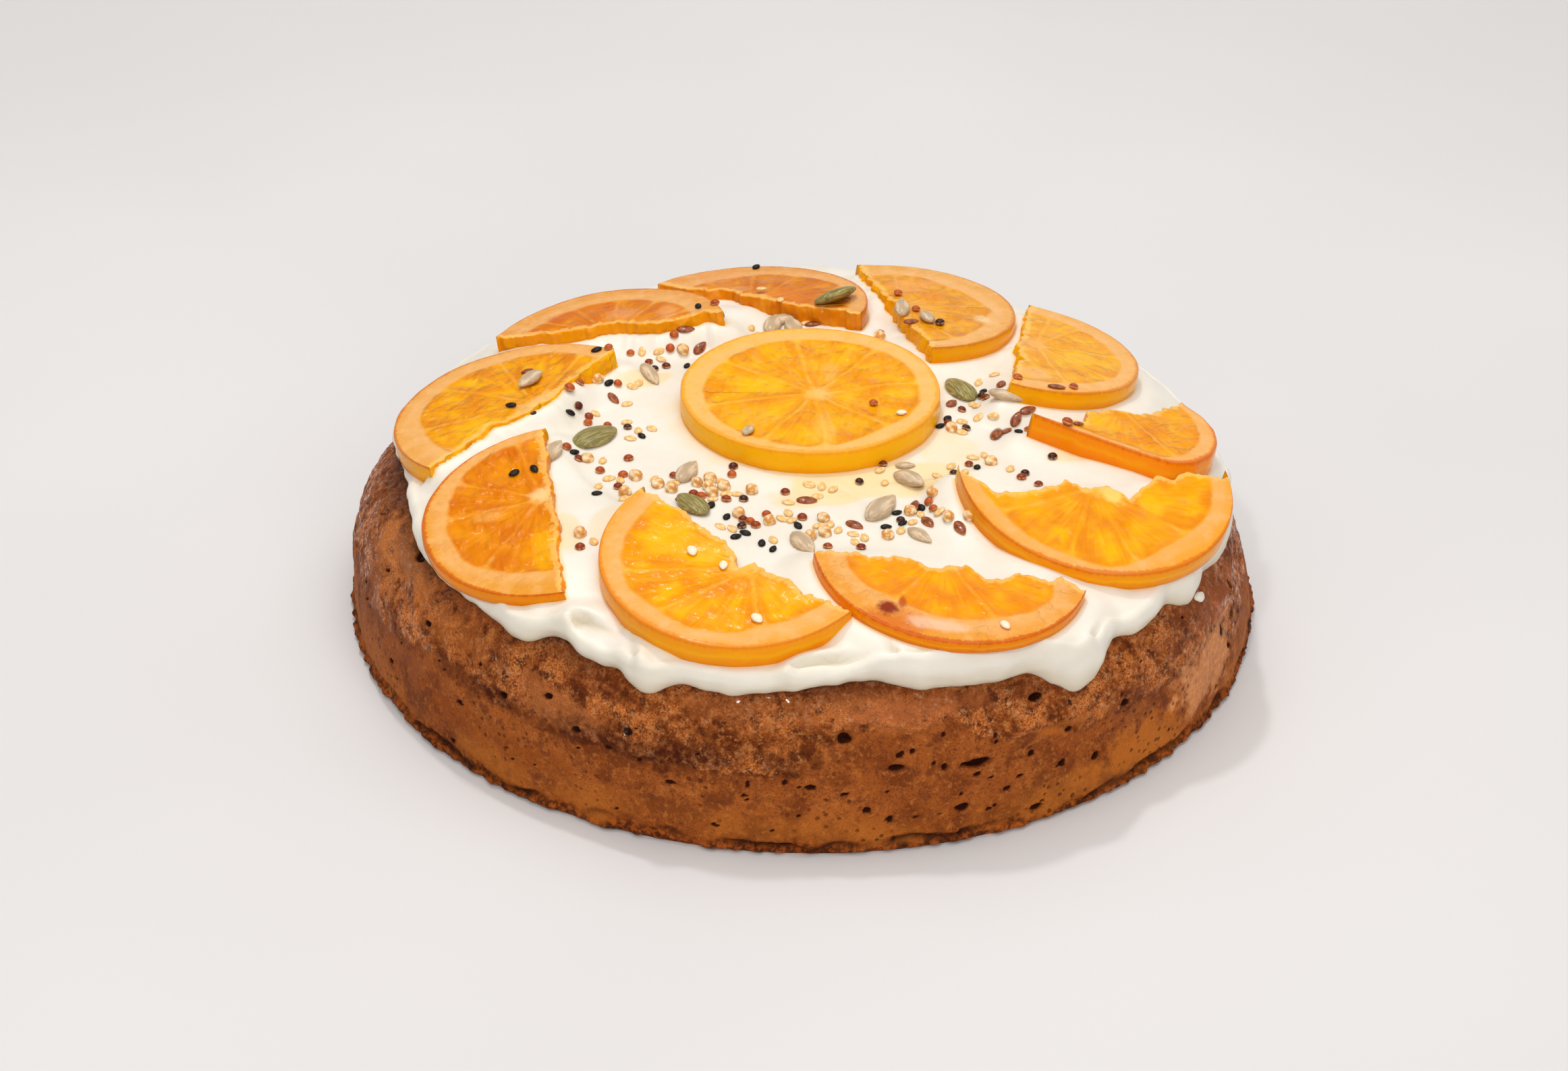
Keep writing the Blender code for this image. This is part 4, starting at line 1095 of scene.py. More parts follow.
# Syrup that has soaked into the icing: middle in plan, half widths, heading and strength.
STAINS = (
    (2, 0, 37, 37, 0, 0.55), (18, -34, 25, 9, 12, 0.95), (8, -40, 15, 6, 20, 0.85),
    (36, -18, 9, 12, 30, 0.5), (-42, 15, 8, 4, 30, 0.8), (-46, 13, 5, 3, 30, 0.6),
    (-56, -60, 5, 9, 10, 0.7), (-47, -57, 4, 8, -10, 0.5), (72, -16, 16, 5, 25, 0.7),
    (-28, 40, 9, 4, 20, 0.5), (45, 40, 6, 5, 0, 0.4),
)


def icing_depth(share, azimuth):
    """Thickness of the icing, at a share of the radius of its edge."""
    swirl = sum(more * bump(turn_between(at, azimuth), half) for at, half, more in ICING_SWIRLS)
    edge = ICING_EDGE + swirl
    return ICING_MIDDLE + (edge - ICING_MIDDLE) * ramp(0.78, 0.95, share)


def outside_slab(slab, x, y):
    """How far places in plan lie outside a slice's underside, negative within it."""
    rim, torn = slab.edges(72)
    outline = rim if slab.cut is None else np.concatenate([rim, torn[::-1]])
    px, py = slab.on_plane(x, y, slab.thick)
    nearest = np.full(x.shape, 1e9)
    within = np.zeros(x.shape, bool)
    for (ax, ay), (bx, by) in zip(outline, np.roll(outline, -1, axis=0)):
        dx, dy = bx - ax, by - ay
        length = dx * dx + dy * dy
        if length < 1e-9:
            continue
        share = np.clip(((px - ax) * dx + (py - ay) * dy) / length, 0.0, 1.0)
        nearest = np.minimum(nearest, np.hypot(px - ax - share * dx, py - ay - share * dy))
        if abs(dy) > 1e-9:
            within ^= ((ay > py) != (by > py)) & (px < ax + (py - ay) * dx / dy)
    return np.where(within, -nearest, nearest)


def icing_mesh():
    """The top out to the rim, the rim's round edge, and the underside just above the sponge."""
    around = np.linspace(-180.0, 180.0, ICING_COLUMNS, endpoint=False)
    edge = icing_edge(around)
    edge = edge + 0.4 * lumps(on_circle(edge, around, 0.0), 9.0, 2, seed=60)
    edge = edge + 0.35 * waves(on_circle(edge, around, 0.0), 3.4, 59)
    crease = sum(deep * bump(turn_between(at, around), half) for at, half, deep in ICING_CREASES)
    swell = RIM_WIDTH * (1.0 + 0.25 * waves(on_circle(edge, around, 0.0), 7.0, 66)) - 0.6 * crease
    limit = edge - 0.55 * swell
    share = np.concatenate([np.linspace(0.03, 0.3, 9), np.linspace(0.3, 1.0, ICING_ROWS)[1:]])[:, None]
    radius = limit * share
    azimuth = np.broadcast_to(around, radius.shape)
    base = sponge_top(radius, azimuth)
    flat = on_circle(radius, azimuth, 0.0)
    x, y = flat[..., 0], flat[..., 1]
    mound_x, mound_y, mound_width, mound_height = ICING_MOUND
    away = np.hypot(x - mound_x, y - mound_y) / mound_width
    depth = icing_depth(radius / edge, azimuth) + mound_height * np.exp(-away * away)
    depth = depth + 0.35 * waves(flat, 17.0, 61) + 0.12 * waves(flat, 6.0, 62)
    # Painted shade along the steep sides of the strokes and lips, for the icing's colour.
    fold_shade = np.zeros_like(depth)
    for x0, y0, x1, y1, width, tall, steep in STROKES:
        dx, dy = x1 - x0, y1 - y0
        long = math.hypot(dx, dy)
        t = ((x - x0) * dx + (y - y0) * dy) / long**2
        side = steep * ((x - x0) * dy - (y - y0) * dx) / long
        side = side + 0.5 * np.sin(np.pi * np.clip(t, 0, 1)) * width
        profile = ramp(-width * 2.2, 0.0, side) * ramp(width * 0.2, 0.0, side)
        depth = depth + 1.25 * tall * profile * bump(t - 0.5, 0.62)
        fold_shade = fold_shade + tall * bump(side - 0.15 * width, 0.35 * width) * bump(t - 0.5, 0.62)
    for tall, soft, sharp, line in FOLDS:
        across = np.full(x.shape, FAR)
        ending = np.zeros(x.shape)
        for count, ((x0, y0), (x1, y1)) in enumerate(zip(line, line[1:])):
            dx, dy = x1 - x0, y1 - y0
            t = np.clip(((x - x0) * dx + (y - y0) * dy) / (dx * dx + dy * dy), 0.0, 1.0)
            reach = np.hypot(x - x0 - t * dx, y - y0 - t * dy)
            outer = np.sign(((x - x0) * dy - (y - y0) * dx) * (x0 * dy - y0 * dx))
            nearer = reach < np.abs(across)
            across = np.where(nearer, outer * reach, across)
            ending = np.where(nearer, (count + t) / (len(line) - 1), ending)
        fade = bump(ending - 0.5, 0.75)
        profile = ramp(-soft, 0.0, across) * ramp(sharp, 0.0, across)
        depth = depth + 1.7 * tall * profile * fade
        fold_shade = np.maximum(fold_shade, tall * fade * ramp(-0.3, sharp, across) * ramp(sharp + 2.5, sharp, across))
    swipes = waves(np.stack([x * 0.35 + y * 0.12, y * 1.1 - x * 0.3, x * 0.0], -1), 5.0, 64)
    depth = depth + 0.16 * swipes * ramp(0.75, 0.95, share)
    depth = depth - 0.8 * crease * ramp(0.86, 1.0, share)
    upwards = sponge_slope(radius, base, azimuth)[1]
    height = base + depth / np.maximum(upwards, 0.55)
    contact = np.full(radius.shape, FAR)
    ceiling = np.full(radius.shape, 1e9)
    free = height.copy()
    for slab in slabs.values():
        outside = outside_slab(slab, x, y)
        under = slab.height(x, y, slab.thick) - 0.1
        height = np.maximum(height, free + (under + FILL_UP - free) * ramp(FILL_REACH, 0.0, outside))
        lap = under + (np.maximum(height, under) - under) * ramp(-LAP_REACH, -LAP_START, outside)
        ceiling = np.minimum(ceiling, np.where(outside < -LAP_START, lap, 1e9))
        contact = np.minimum(contact, outside)
    for name, start, end, below, bank_reach in BANKS:
        slab = slabs[name]
        out, along = slab.on_plane(x, y, 0.0)
        torn = slab.edges(72)[1]
        away = np.interp(along, torn[::-1, 1], torn[::-1, 0]) - out
        banked = ramp(bank_reach, 0.3, away) * ramp(-2.5, -0.6, away)
        first_along, last_along = torn[0, 1], torn[-1, 1]
        banked = banked * ramp(start - 5.0, start + 5.0, along)
        banked = banked * ramp(first_along + 3, first_along - 3, along)
        banked = banked * ramp(end + 5.0, end - 5.0, along)
        banked = banked * ramp(last_along - 3, last_along + 3, along)
        height = np.maximum(height, height + (slab.height(x, y, below) - height) * banked)
    height = np.maximum(np.minimum(height, ceiling), base + ICING_LEAST)

    rim_turn = np.radians(np.linspace(90.0, -RIM_UNDER, RIM_ROWS + 1)[1:])[:, None]
    foot = limit + swell * math.cos(math.radians(RIM_UNDER))
    foot_height = sponge_top(foot, around) - 0.25
    half_tall = (height[-1] - foot_height) / (1.0 + math.sin(math.radians(RIM_UNDER)))
    rim_radius = limit + swell * np.cos(rim_turn) ** 0.85
    rim_height = height[-1] - half_tall * (1.0 - np.sin(rim_turn))
    rim_points = on_circle(rim_radius, around, rim_height)
    ripples = lumps(rim_points * np.array([1.0, 1.0, 2.2]), 5.0, 2, 68)
    rim_radius = rim_radius + 0.22 * ripples * np.cos(rim_turn)

    under = np.array([0.9, 0.6, 0.3])[:, None]
    radius = np.concatenate([radius, rim_radius, limit * under])
    height = np.concatenate([height, rim_height, sponge_top(limit * under, around) + 0.1])
    rows = len(radius)
    points = on_circle(radius, np.broadcast_to(around, radius.shape), height).reshape(-1, 3)
    middle = len(points)
    points = np.concatenate([points, [(0, 0, points[:ICING_COLUMNS, 2].mean()), (0, 0, CAKE_HEIGHT + 0.1)]])
    faces = band_faces(rows, ICING_COLUMNS)
    faces += [tuple(reversed(face)) for face in fan_faces(0, ICING_COLUMNS, middle, True)]
    faces += fan_faces((rows - 1) * ICING_COLUMNS, ICING_COLUMNS, middle + 1, True)
    faces = [tuple(reversed(face)) for face in faces]

    stain = np.zeros(points.shape[0])
    for at_x, at_y, half_x, half_y, heading, strength in STAINS:
        turn = math.radians(heading)
        px = (points[:, 0] - at_x) * math.cos(turn) + (points[:, 1] - at_y) * math.sin(turn)
        py = (points[:, 1] - at_y) * math.cos(turn) - (points[:, 0] - at_x) * math.sin(turn)
        away = np.hypot(px / half_x, py / half_y)
        away = away + 0.18 * waves(points, 6.0, 70)
        stain = np.maximum(stain, strength * ramp(1.05, 0.75, away))
    near = np.full(len(points), FAR)
    near[:contact.size] = contact.ravel()
    painted_shade = np.zeros(len(points))
    painted_shade[:fold_shade.size] = fold_shade.ravel()
    # Painted shade on the underside of the rim.
    shade_beneath_rim = ramp(math.radians(20.0), math.radians(-45.0), rim_turn) * np.ones(ICING_COLUMNS)
    painted_shade[fold_shade.size:fold_shade.size + shade_beneath_rim.size] = 0.9 * shade_beneath_rim.ravel()
    return mesh_of("icing_spread", points, faces, {"stain": stain, "contact": near, "fold_shade": painted_shade})


def icing_finish():
    """White icing, warmer where syrup has soaked in, with painted shade in its folds and under its rim, and
    round the slices a tint that is partly syrup and partly a painted glow.
    """
    made, start = new_finish("icing")
    spot = start.places()
    stain = start.value("stain")
    contact = start.value("contact")
    cloud = spot.noise(14.0, 3.0)
    streak = spot.stretched(0.35, 1.0, 1.0).noise(3.5, 3.0, 0.55)
    colour = cloud.rise(0.35, 0.7).blend(rgb(238, 231, 218), rgb(233, 225, 208))
    colour = (stain * (0.7 + cloud * 0.5)).blend(colour, rgb(242, 218, 166))
    # Painted shade in the folds and under the rim: darker, warmer icing.
    colour = (start.value("fold_shade") * 0.6).least(0.75).blend(colour, rgb(208, 192, 158))
    # Round the slices the icing turns orange: partly syrup soaked in, partly a painted glow of light
    # through the slices.
    juice_and_glow = contact.rise(1.3, 0.0, 0.0, 0.8)
    colour = juice_and_glow.blend(colour, rgb(247, 214, 150))
    roughness = (0.42 + (streak - 0.5) * 0.2 - stain * 0.25).most(0.15)
    normal = start.bumped(streak * 0.6 + spot.noise(0.9, 2.0) * 0.25, 0.22, 0.7)
    constants = {
        "Subsurface Weight": 0.25,
        "Subsurface Radius": (1.0, 0.8, 0.55),
        "Subsurface Scale": 1.6 * MM,
        "IOR": 1.42,
    }
    set_finish(made, constants, Base_Color=colour, Roughness=roughness, Normal=normal)
    return made


icing = icing_mesh()
icing.data.materials.append(icing_finish())
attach(icing, "root")
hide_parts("icing")

# ------------------------------------------------------------------------------------------------
# Seeds. A dry mix strewn over the icing and the slices: pumpkin and sunflower kernels, linseed,
# black, white and peeled sesame, red quinoa and puffed grains, and one dab of icing that fell on
# the sponge. Each kind is one mesh of small solids at true size, sunk a little in what is below.
# ------------------------------------------------------------------------------------------------
# Length, width, height, points round it, rings along it, and how much it narrows to one end.
SEED_KINDS = {
    "pumpkin_seeds": (13.2, 8.3, 3.2, 24, 14, 0.26),
    "sunflower_kernels": (9.8, 4.7, 3.0, 20, 12, 0.6),
    "linseeds": (4.9, 2.7, 1.2, 14, 9, 0.42),
    "black_sesame": (3.0, 1.9, 1.1, 12, 8, 0.38),
    "white_sesame": (3.2, 2.1, 1.1, 12, 8, 0.35),
    "peeled_sesame": (3.2, 2.3, 1.4, 14, 9, 0.25),
    "red_quinoa": (2.4, 2.3, 1.7, 12, 8, 0.0),
    "puffed_grains": (3.3, 3.1, 2.8, 14, 10, 0.0),
    "icing_dab": (4.2, 3.0, 1.9, 18, 12, 0.4),
}
# Seeds on the icing: place in plan, and, where they aren't by chance, heading, lift and size.
SEED_PLACES = {
    "pumpkin_seeds": [(-52.5, -16, 42), (40, 13.5, 118), (-26.4, -48.2, 128, 1.6, 0.86)],
    "sunflower_kernels": [
        (-41, 17, -60), (-62, -27, 70), (-28.5, -32, 70), (26, -34, -60, 0.0, 1.3),
        (19, -47.5, 60, 0.0, 1.25), (28, -59, -45, 0.0, 0.8), (0.5, -64, -60), (51, 2.5, -10),
        (-9.5, 46.5, 80), (-4, 44.5, 112), (-7, 49, 20), (25.3, 48.3, 90, 2.0), (25, -27, 10, 0, 0.5),
    ],
    "linseeds": [
        (1, -44, 0), (12.5, -55, -35), (30, -53, -60), (37.5, -57, -70), (27, -45.5, 80),
        (48.5, -9, 85, 0, 1.35), (51, -8, 60), (53.5, -4, 70), (56.5, -1.5, 30), (50.5, 12.5, 80),
        (64, 4.5, 10), (-49.5, 4.5, -50), (-32.5, 35, 5), (-28.5, 31, 60), (27.5, 40, 35),
        (37.5, 5.5, 60), (1.5, 46.2, 10), (-28.5, -44, 30), (-23.6, 41.9, 50),
    ],
    "black_sesame": [
        (-51, 9.7), (-59.5, -8), (-41, -14), (-57, -24), (-49.8, -43), (-22, -47), (-18, -52),
        (-13.4, -59), (-15.5, -61), (-9.3, -63.3), (-6.6, -65.8), (-1, -55.5), (34.2, -7),
        (36.2, -3), (46, 12), (24, -53.5), (20, -55.5), (22.7, -48.7), (42.8, -26), (53.8, -10),
        (28.5, -46.5), (-31.5, 23), (19.5, 42),
    ],
    "red_quinoa": [
        (-37, 23), (-40, 21.3), (-51.5, 17.8), (-48.8, 10), (-58, 3.5), (-57.8, -4.5), (-55, -8.5),
        (-44.8, -10), (-68.5, -11.5), (-55.8, -26.5), (-50, -31.3), (-45, -39), (-31.8, -33.3),
        (-17.3, -29.5), (-4.3, -40), (-26.5, -42), (-24.6, -43), (-18.5, -44), (-14.3, -43.5),
        (-14.3, -56), (-11, -55.5), (0, -52), (6.2, -65), (14, -65.5), (23.5, -52.3),
        (30.5, -45.5), (19.5, -27), (37, -30), (40.8, -24.8), (54.5, -28.5), (53.5, -30.5),
        (57.5, -34), (61.7, -21), (46.5, 7.5), (40, 2.8), (36.3, -5.6), (54, 6.2), (68.5, 6.5),
        (56.5, -8), (-46.8, 29.5), (-35.5, 33), (-25, 43),
    ],
    "puffed_grains": [
        (-26, -37), (-22.8, -35), (-22, -41.5), (-19.3, -38), (-41, -34.5), (5, -52.5),
        (5.5, -59), (35, -53), (31.5, -43), (39.7, -53.5), (37, -8), (-35.5, -38), (2, -60.5),
    ],
    "white_sesame": [(-13, 59, 0, 3.0), (-7.6, 52.7), (-0.4, 47)],
    "icing_dab": [(95.2, -57.7, 215, 0.0, 1.0)],
}
# Seeds on each slice: kind, place towards the rind and along, heading, size, and how far the seed
# leans and is lifted by that.
SEEDS_ON_SLICES = {
    "middle": (
        ("red_quinoa", 16, -8, 20, 1.0), ("sunflower_kernels", -15, -23, 70, 0.6),
        ("peeled_sesame", 23, -13, 20, 0.8),
    ),
    "left": (
        ("sunflower_kernels", 8, -10, 100, 0.95), ("black_sesame", 4, -31, 60, 1.0),
        ("black_sesame", 3, 2, 20, 1.0), ("red_quinoa", -3, -13, 0, 1.2),
        ("linseeds", 13, -14, 60, 0.7),
    ),
    "left_front": (
        ("black_sesame", 9, -16, 30, 1.0), ("black_sesame", 4, -16, 110, 1.0),
    ),
    "front_left": (
        ("peeled_sesame", 8, -8, 60, 1.0), ("peeled_sesame", 7, 1, 40, 0.9),
        ("peeled_sesame", 15, 19, 80, 1.0),
    ),
    "front_right": (("peeled_sesame", 24, 13, 40, 0.9),),
    "back_right": (
        ("red_quinoa", 2, 7, 0, 1.1), ("red_quinoa", 3, -5, 0, 1.0), ("red_quinoa", 6, -16, 0, 1.1),
        ("sunflower_kernels", 3.5, -12, 90, 0.8),
    ),
    "right": (
        ("red_quinoa", 6.6, -16.1, 0, 1.2), ("puffed_grains", 1.4, 3.4, 0, 0.9),
        ("linseeds", 6.6, -12.6, 80, 0.6),
    ),
    "back_left": (("black_sesame", 12, -24, 10, 1.0),),
    "back": (
        ("pumpkin_seeds", 10.5, -21, -25, 0.95, -0.5, 2.6), ("black_sesame", 27, 13, 0, 1.0),
    ),
}
# Clusters of small seeds: middle in plan, spread and how many. No seed of a cluster lies on a slice.
CLUSTERS = (
    (-38, 25, 4.5, 3), (-49, 11, 6.0, 4), (-56, -5, 4.5, 3), (-43, -11, 4.0, 4), (-55, -25, 4.0, 3),
    (-46, -38, 6.0, 7), (-33, -37, 3.5, 4), (-21, -40, 4.6, 8), (-13, -56, 4.4, 7),
    (-3, -51, 5.5, 5), (5, -57, 4.5, 3), (4, -40, 4.0, 4), (13, -61, 3.5, 3), (23, -53, 4.5, 4),
    (33, -47, 4.5, 5), (19, -33, 3.5, 3), (36, -30, 4.0, 3), (45, -22, 5.5, 4), (37, -6, 2.6, 3),
    (45, 7, 4.0, 3), (52, -1, 4.5, 3), (49, 18, 3.0, 2), (-37, 32, 5.0, 4), (-8, 42, 6.0, 4),
    (14, 38, 4.5, 4), (-51, -64, 5.0, 3),
)
CLUSTER_KINDS = {"white_sesame": 12, "puffed_grains": 2, "red_quinoa": 2}
CLUSTERS_BELOW = 52.5
SEED_DRAW = 11
TRIES = 40
LIFT_STEP = 0.3
SUNK_IN_ICING = 0.25
SUNK_IN_ORANGE = 0.06
RAYS_FROM = 100.0

bpy.context.view_layer.update()
graph = bpy.context.evaluated_depsgraph_get()
carriers = [
    (piece.matrix_world.inverted(), BVHTree.FromObject(piece, graph))
    for piece in (sponge, icing, *candied.values())
]


def surface_below(x, y, sought=slice(None)):
    """The highest point of the carriers sought below a place in plan, in metres, and its normal."""
    best = None
    for inverse, tree in carriers[sought]:
        origin = inverse @ Vector((x * MM, y * MM, RAYS_FROM * MM))
        down = (inverse.to_3x3() @ Vector((0, 0, -1))).normalized()
        point, normal, _, _ = tree.ray_cast(origin, down)
        if point is None:
            continue
        world = inverse.inverted()
        point = world @ point
        normal = (world.to_3x3() @ normal).normalized()
        if best is None or point.z > best[0].z:
            best = (point, normal)
    return best


def seed_solid(kind, draw):
    """Points and faces of one seed round its own middle, in millimetres."""
    length, width, tall, around, rings, taper = SEED_KINDS[kind]
    turn = np.linspace(0.0, 2.0 * np.pi, around, endpoint=False)[None, :]
    pole = np.linspace(0.0, np.pi, rings)[1:-1, None]
    x = np.broadcast_to(-np.cos(pole), (rings - 2, around))
    ring = np.sin(pole)
    narrow = 1.0 - taper * np.clip((x + 0.15) / 1.15, 0.0, 1.0) ** 1.6
    flat = 0.8 if kind == "pumpkin_seeds" else 0.92
    y = ring * narrow * np.sign(np.cos(turn)) * np.abs(np.cos(turn)) ** flat
    z = ring * narrow ** 0.5 * np.sin(turn)
    unit = np.stack([x, y, z], axis=-1).reshape(-1, 3)
    unit = np.concatenate([unit, [(-1, 0, 0), (1, 0, 0)]])
    push = 1.0
    if kind in ("puffed_grains", "icing_dab"):
        push = 1.0 + 0.16 * lumps(unit + draw.uniform(0, 50), 0.9, 2)[:, None]
    if kind == "red_quinoa":
        push = 1.0 + 0.06 * (bump(np.abs(unit[:, 2]), 0.4) - 0.5)[:, None]
    if kind == "sunflower_kernels":
        ridges = lumps(unit * np.array([0.5, 2.0, 1.0]) + draw.uniform(0, 50), 0.7, 2)
        push = 1.0 + 0.05 * ridges[:, None]
    solid = unit * push * 0.5 * np.array([length, width, tall])
    count = (rings - 2) * around
    faces = band_faces(rings - 2, around)
    faces += fan_faces(0, around, count, False)
    faces += fan_faces(count - around, around, count + 1, True)
    return solid, faces, unit


def seeds_mesh(kind, frames):
    """All seeds of a kind, with each point's place on its own seed and a tint for each seed."""
    draw = random.Random(kind)
    points, faces, units, tints = [], [], [], []
    for place, size in frames:
        solid, solid_faces, unit = seed_solid(kind, draw)
        start = sum(len(part) for part in points)
        turn = np.array(place.to_3x3())
        size = size * draw.uniform(0.92, 1.08)
        points.append(solid * size @ turn.T + np.array(place.translation) / MM)
        faces += [tuple(start + index for index in face) for face in solid_faces]
        units.append(unit)
        tints += [draw.random()] * len(solid)
    values = {"own": np.concatenate(units), "tint": tints}
    return mesh_of(kind, np.concatenate(points), faces, values)


def resting(x, y, heading, kind, size, lift=0.0, tilt=0.0, sunk=SUNK_IN_ICING):
    """A frame for a seed that lies a share of its height deep in what is below it. The dab of icing
    lies under the edge of a slice, so only the sponge, the first carrier, is sought for it."""
    point, normal = surface_below(x, y, slice(1) if kind == "icing_dab" else slice(None))
    tall = SEED_KINDS[kind][2] * size
    turn = math.radians(heading)
    forward = Vector((math.cos(turn), math.sin(turn), 0.0))
    forward = (forward - normal * forward.dot(normal)).normalized()
    made = Matrix((forward, normal.cross(forward), normal)).transposed().to_4x4()
    made.translation = point + normal * ((0.5 - sunk) * tall + lift * LIFT_STEP) * MM
    return made @ Matrix.Rotation(tilt, 4, "X")


draw = random.Random(SEED_DRAW)
placed = {kind: [] for kind in SEED_KINDS}
taken = []
for kind, rows in SEED_PLACES.items():
    for row in rows:
        x, y = row[:2]
        heading = row[2] if len(row) > 2 else draw.uniform(0, 180)
        lift = row[3] if len(row) > 3 else 0.0
        size = row[4] if len(row) > 4 else 1.0
        tilt = draw.uniform(-0.15, 0.15)
        placed[kind].append((resting(x, y, heading, kind, size, lift, tilt), size))
        taken.append((x, y, 0.5 * SEED_KINDS[kind][0] * size))
for middle_x, middle_y, spread, count in CLUSTERS:
    for _ in range(count):
        for _ in range(TRIES):
            x = draw.gauss(middle_x, spread * 0.6)
            y = draw.gauss(middle_y, spread * 0.6)
            kind = draw.choices(list(CLUSTER_KINDS), list(CLUSTER_KINDS.values()))[0]
            reach = 0.5 * SEED_KINDS[kind][0]
            clear = all(math.hypot(x - a, y - b) > 0.75 * (reach + c) for a, b, c in taken)
            heading = draw.uniform(0, 180)
            if clear and surface_below(x, y)[0].z < CLUSTERS_BELOW * MM:
                tilt = draw.uniform(-0.2, 0.2)
                placed[kind].append((resting(x, y, heading, kind, 1.0, 0.0, tilt), 1.0))
                taken.append((x, y, reach))
                break
for name, rows in SEEDS_ON_SLICES.items():
    matrix = slabs[name].matrix
    for kind, out, along, heading, size, *leaning in rows:
        spot = matrix @ (Vector((out, along, 0.0)) * MM)
        turn = math.radians(heading)
        towards = matrix.to_3x3() @ Vector((math.cos(turn), math.sin(turn), 0.0))
        turned = math.degrees(math.atan2(towards.y, towards.x))
        tilt, lift = leaning or (0.0, 0.0)
        x, y = spot.x / MM, spot.y / MM
        lying = resting(x, y, turned, kind, size, lift, tilt, SUNK_IN_ORANGE)
        placed[kind].append((lying, size))


def pumpkin_finish():
    """Green skin, streaked along the seed, with a paler rim."""
    made, start = new_finish("pumpkin_seed_skin")
    own = start.vector("own")
    tint = start.value("tint")
    streaks = own.stretched(0.5, 3.2, 1.0).noise(0.45, 3.0, 0.6)
    cloud = own.noise(0.8, 3.0)
    colour = streaks.rise(0.40, 0.66).blend(rgb(114, 100, 44), rgb(184, 168, 98))
    colour = cloud.rise(0.45, 0.7, 0.0, 0.6).blend(colour, rgb(140, 124, 66))
    colour = (tint * 0.35).blend(colour, rgb(130, 122, 80))
    ends = own.node("SeparateXYZ", None, {0: own})
    rim = ends.math("ABSOLUTE", ends).rise(0.86, 1.0, 0.0, 0.6)
    colour = rim.blend(colour, rgb(150, 142, 92))
    normal = start.bumped(streaks, 0.25, 0.7)
    constants = {"Coat Weight": 0.1, "Coat Roughness": 0.15, "IOR": 1.42, "Specular IOR Level": 0.3}
    set_finish(made, constants, Base_Color=colour, Roughness=0.36 + (cloud - 0.5) * 0.2, Normal=normal)
    return made


def plain_seed_finish(name, light, dark, patch, roughness, coat, stretch=(1.0, 1.0, 1.0), size=0.6):
    """A seed's skin: two tones in streaks, and a third in patches."""
    light, dark, patch = (rgb(*tone) for tone in (light, dark, patch))
    made, start = new_finish(name)
    own = start.vector("own")
    tint = start.value("tint")
    streaks = own.stretched(*stretch).noise(size, 3.0, 0.6)
    cloud = own.noise(1.1, 2.0)
    colour = streaks.rise(0.38, 0.66).blend(dark, light)
    colour = (cloud.rise(0.5, 0.7) * tint * 0.9).blend(colour, patch)
    normal = start.bumped(streaks, 0.15, 0.6)
    constants = {"Coat Weight": coat, "Coat Roughness": 0.12, "IOR": 1.45, "Specular IOR Level": 0.2}
    roughness = roughness + (streaks - 0.5) * 0.15
    set_finish(made, constants, Base_Color=colour, Roughness=roughness, Normal=normal)
    return made


def quinoa_finish():
    """Red and dark grains with a pale germ round the edge."""
    made, start = new_finish("red_quinoa_skin")
    own = start.vector("own")
    tint = start.value("tint")
    parts = own.node("SeparateXYZ", None, {0: own}, 2)
    ring = parts.math("ABSOLUTE", parts).rise(0.34, 0.16)
    cloud = own.noise(0.9, 2.0)
    colour = tint.rise(0.15, 0.9).blend(rgb(122, 38, 12), rgb(186, 84, 26))
    colour = tint.rise(0.30, 0.12).blend(colour, rgb(58, 22, 16))
    colour = cloud.rise(0.5, 0.7, 0.0, 0.5).blend(colour, rgb(84, 20, 8))
    colour = (ring * 0.7 * cloud.rise(0.35, 0.6)).blend(colour, rgb(232, 176, 110))
    constants = {"Coat Weight": 0.15, "Coat Roughness": 0.1, "IOR": 1.45, "Specular IOR Level": 0.25}
    set_finish(made, constants, Base_Color=colour, Roughness=0.35 + (cloud - 0.5) * 0.1)
    return made


# Plain skins: material, light, dark and patchy tones, roughness, coat, and for some the stretch
# and the size of their streaks.
SEED_SKINS = {
    "sunflower_kernels": (
        "sunflower_kernel_skin", (226, 202, 168), (186, 160, 128), (204, 178, 144), 0.5, 0.1,
        (0.3, 1.8, 1.0),
    ),
    "linseeds": ("linseed_skin", (176, 96, 48), (120, 56, 26), (196, 112, 44), 0.25, 0.4),
    "black_sesame": ("black_sesame_skin", (44, 36, 32), (18, 14, 12), (58, 46, 38), 0.45, 0.05),
    "white_sesame": ("white_sesame_skin", (248, 220, 166), (234, 182, 104), (254, 240, 214), 0.35, 0.15),
    "peeled_sesame": ("peeled_sesame_skin", (252, 240, 216), (246, 226, 190), (255, 248, 236), 0.3, 0.2),
    "icing_dab": ("icing_dab_skin", (238, 231, 218), (233, 225, 208), (240, 234, 222), 0.4, 0.1),
    "puffed_grains": (
        "puffed_grain_skin", (250, 226, 176), (214, 144, 64), (254, 242, 212), 0.35, 0.2,
        (1.0, 1.0, 1.0), 1.1,
    ),
}
seed_finishes = {kind: plain_seed_finish(*skin) for kind, skin in SEED_SKINS.items()}
seed_finishes["pumpkin_seeds"] = pumpkin_finish()
seed_finishes["red_quinoa"] = quinoa_finish()
for kind, frames in placed.items():
    piece = seeds_mesh(kind, frames)
    piece.data.materials.append(seed_finishes[kind])
    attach(piece, "root")
    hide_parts("icing")

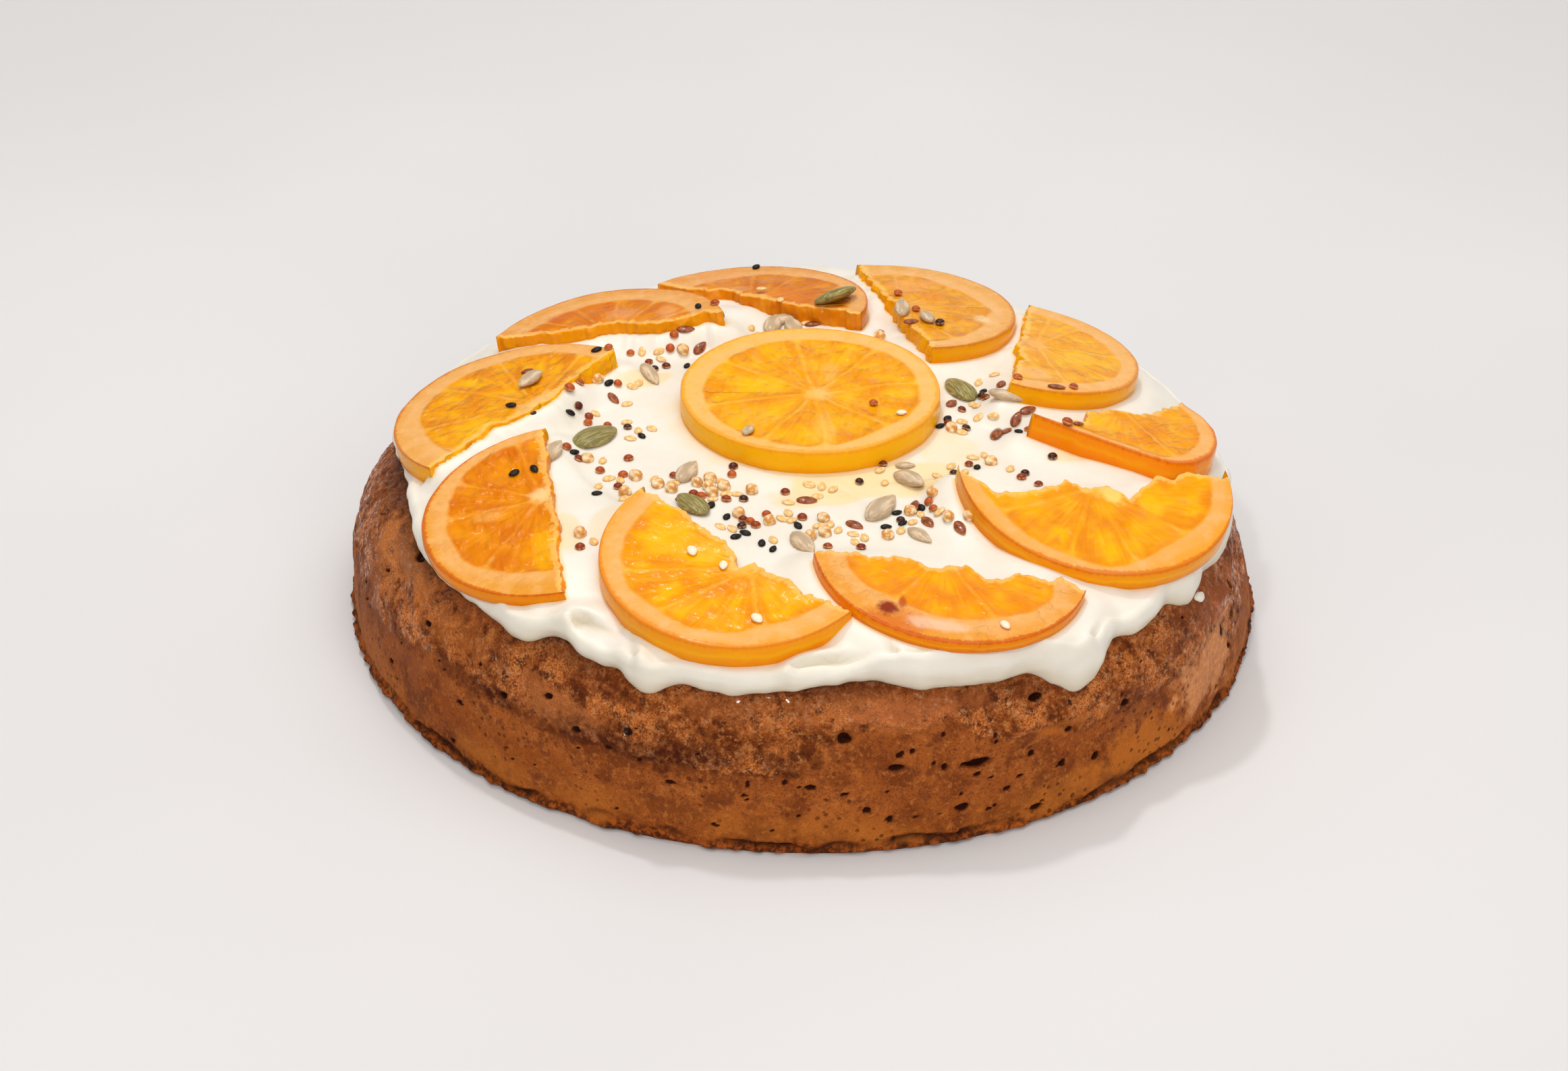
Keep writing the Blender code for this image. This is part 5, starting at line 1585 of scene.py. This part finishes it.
# ------------------------------------------------------------------------------------------------
# Floor, light and camera: a plain pale sweep under soft studio light, seen from the front and
# above, at the angle and distance that the photograph was taken from.
# ------------------------------------------------------------------------------------------------
FLOOR_HALF = 3000.0
FLOOR_TONES = (219, 216, 214), (223, 220, 218)
SKY_COLOUR = (1.0, 0.985, 0.97, 1.0)
SKY_STRENGTH = 0.335
LIGHTS_FACE = (0, 0, 30)
# Square soft boxes: name, place, size and power.
LIGHTS = (
    ("overhead_box", (50, 150, 1300), 1300, 8.4), ("front_box", (500, -1300, 800), 1100, 7.2),
    ("back_window", (500, 1300, 700), 1000, 1.5), ("high_spark", (-150, 300, 1100), 60, 2.8),
    ("front_spark", (-260, -800, 950), 60, 2.6),
)
# Angles of the camera are in radians; the lens and the sensor are those of a full-frame camera.
CAMERA_PLACE = (3.0612, -588.375, 377.205)
CAMERA_DOWN = 0.5540888
CAMERA_ROLL = 0.0156477
CAMERA_TURN = -0.0136863
LENS = 60.38
SENSOR = 36.0

corners = [(x * FLOOR_HALF, y * FLOOR_HALF, 0) for x, y in ((-1, -1), (1, -1), (1, 1), (-1, 1))]
floor = mesh_of("floor", corners, [(0, 1, 2, 3)])
pale, start = new_finish("floor_paper")
tone = start.places().noise(240.0, 2.0).rise(0.3, 0.7).blend(*(rgb(*one) for one in FLOOR_TONES))
set_finish(pale, {"Roughness": 0.9, "Specular IOR Level": 0.2}, Base_Color=tone)
floor.data.materials.append(pale)

world = bpy.data.worlds.new("studio")
world.use_nodes = True
sky = world.node_tree.nodes["Background"].inputs
sky["Color"].default_value = SKY_COLOUR
sky["Strength"].default_value = SKY_STRENGTH
bpy.context.scene.world = world

for name, place, size, power in LIGHTS:
    lamp = bpy.data.lights.new(name, "AREA")
    lamp.size = size * MM
    lamp.energy = power
    box = bpy.data.objects.new(name, lamp)
    box.location = Vector(place) * MM
    facing = Vector(LIGHTS_FACE) * MM - box.location
    box.rotation_euler = facing.to_track_quat("-Z", "Y").to_euler()
    bpy.context.scene.collection.objects.link(box)

camera_data = bpy.data.cameras.new("camera")
camera_data.lens = LENS
camera_data.sensor_width = SENSOR
camera_data.clip_start = 0.01
camera = bpy.data.objects.new("camera", camera_data)
bpy.context.scene.collection.objects.link(camera)
forward = Vector((
    math.sin(CAMERA_TURN) * math.cos(CAMERA_DOWN),
    math.cos(CAMERA_TURN) * math.cos(CAMERA_DOWN),
    -math.sin(CAMERA_DOWN),
))
level_right = Vector((math.cos(CAMERA_TURN), -math.sin(CAMERA_TURN), 0.0))
level_up = level_right.cross(forward)
right = level_right * math.cos(CAMERA_ROLL) + level_up * math.sin(CAMERA_ROLL)
up = level_up * math.cos(CAMERA_ROLL) - level_right * math.sin(CAMERA_ROLL)
camera_turn = Matrix((right, up, -forward)).transposed().to_4x4()
camera.matrix_world = Matrix.Translation(Vector(CAMERA_PLACE) * MM) @ camera_turn
bpy.context.scene.camera = camera
bpy.context.scene.view_settings.view_transform = "Standard"

bpy.context.view_layer.update()
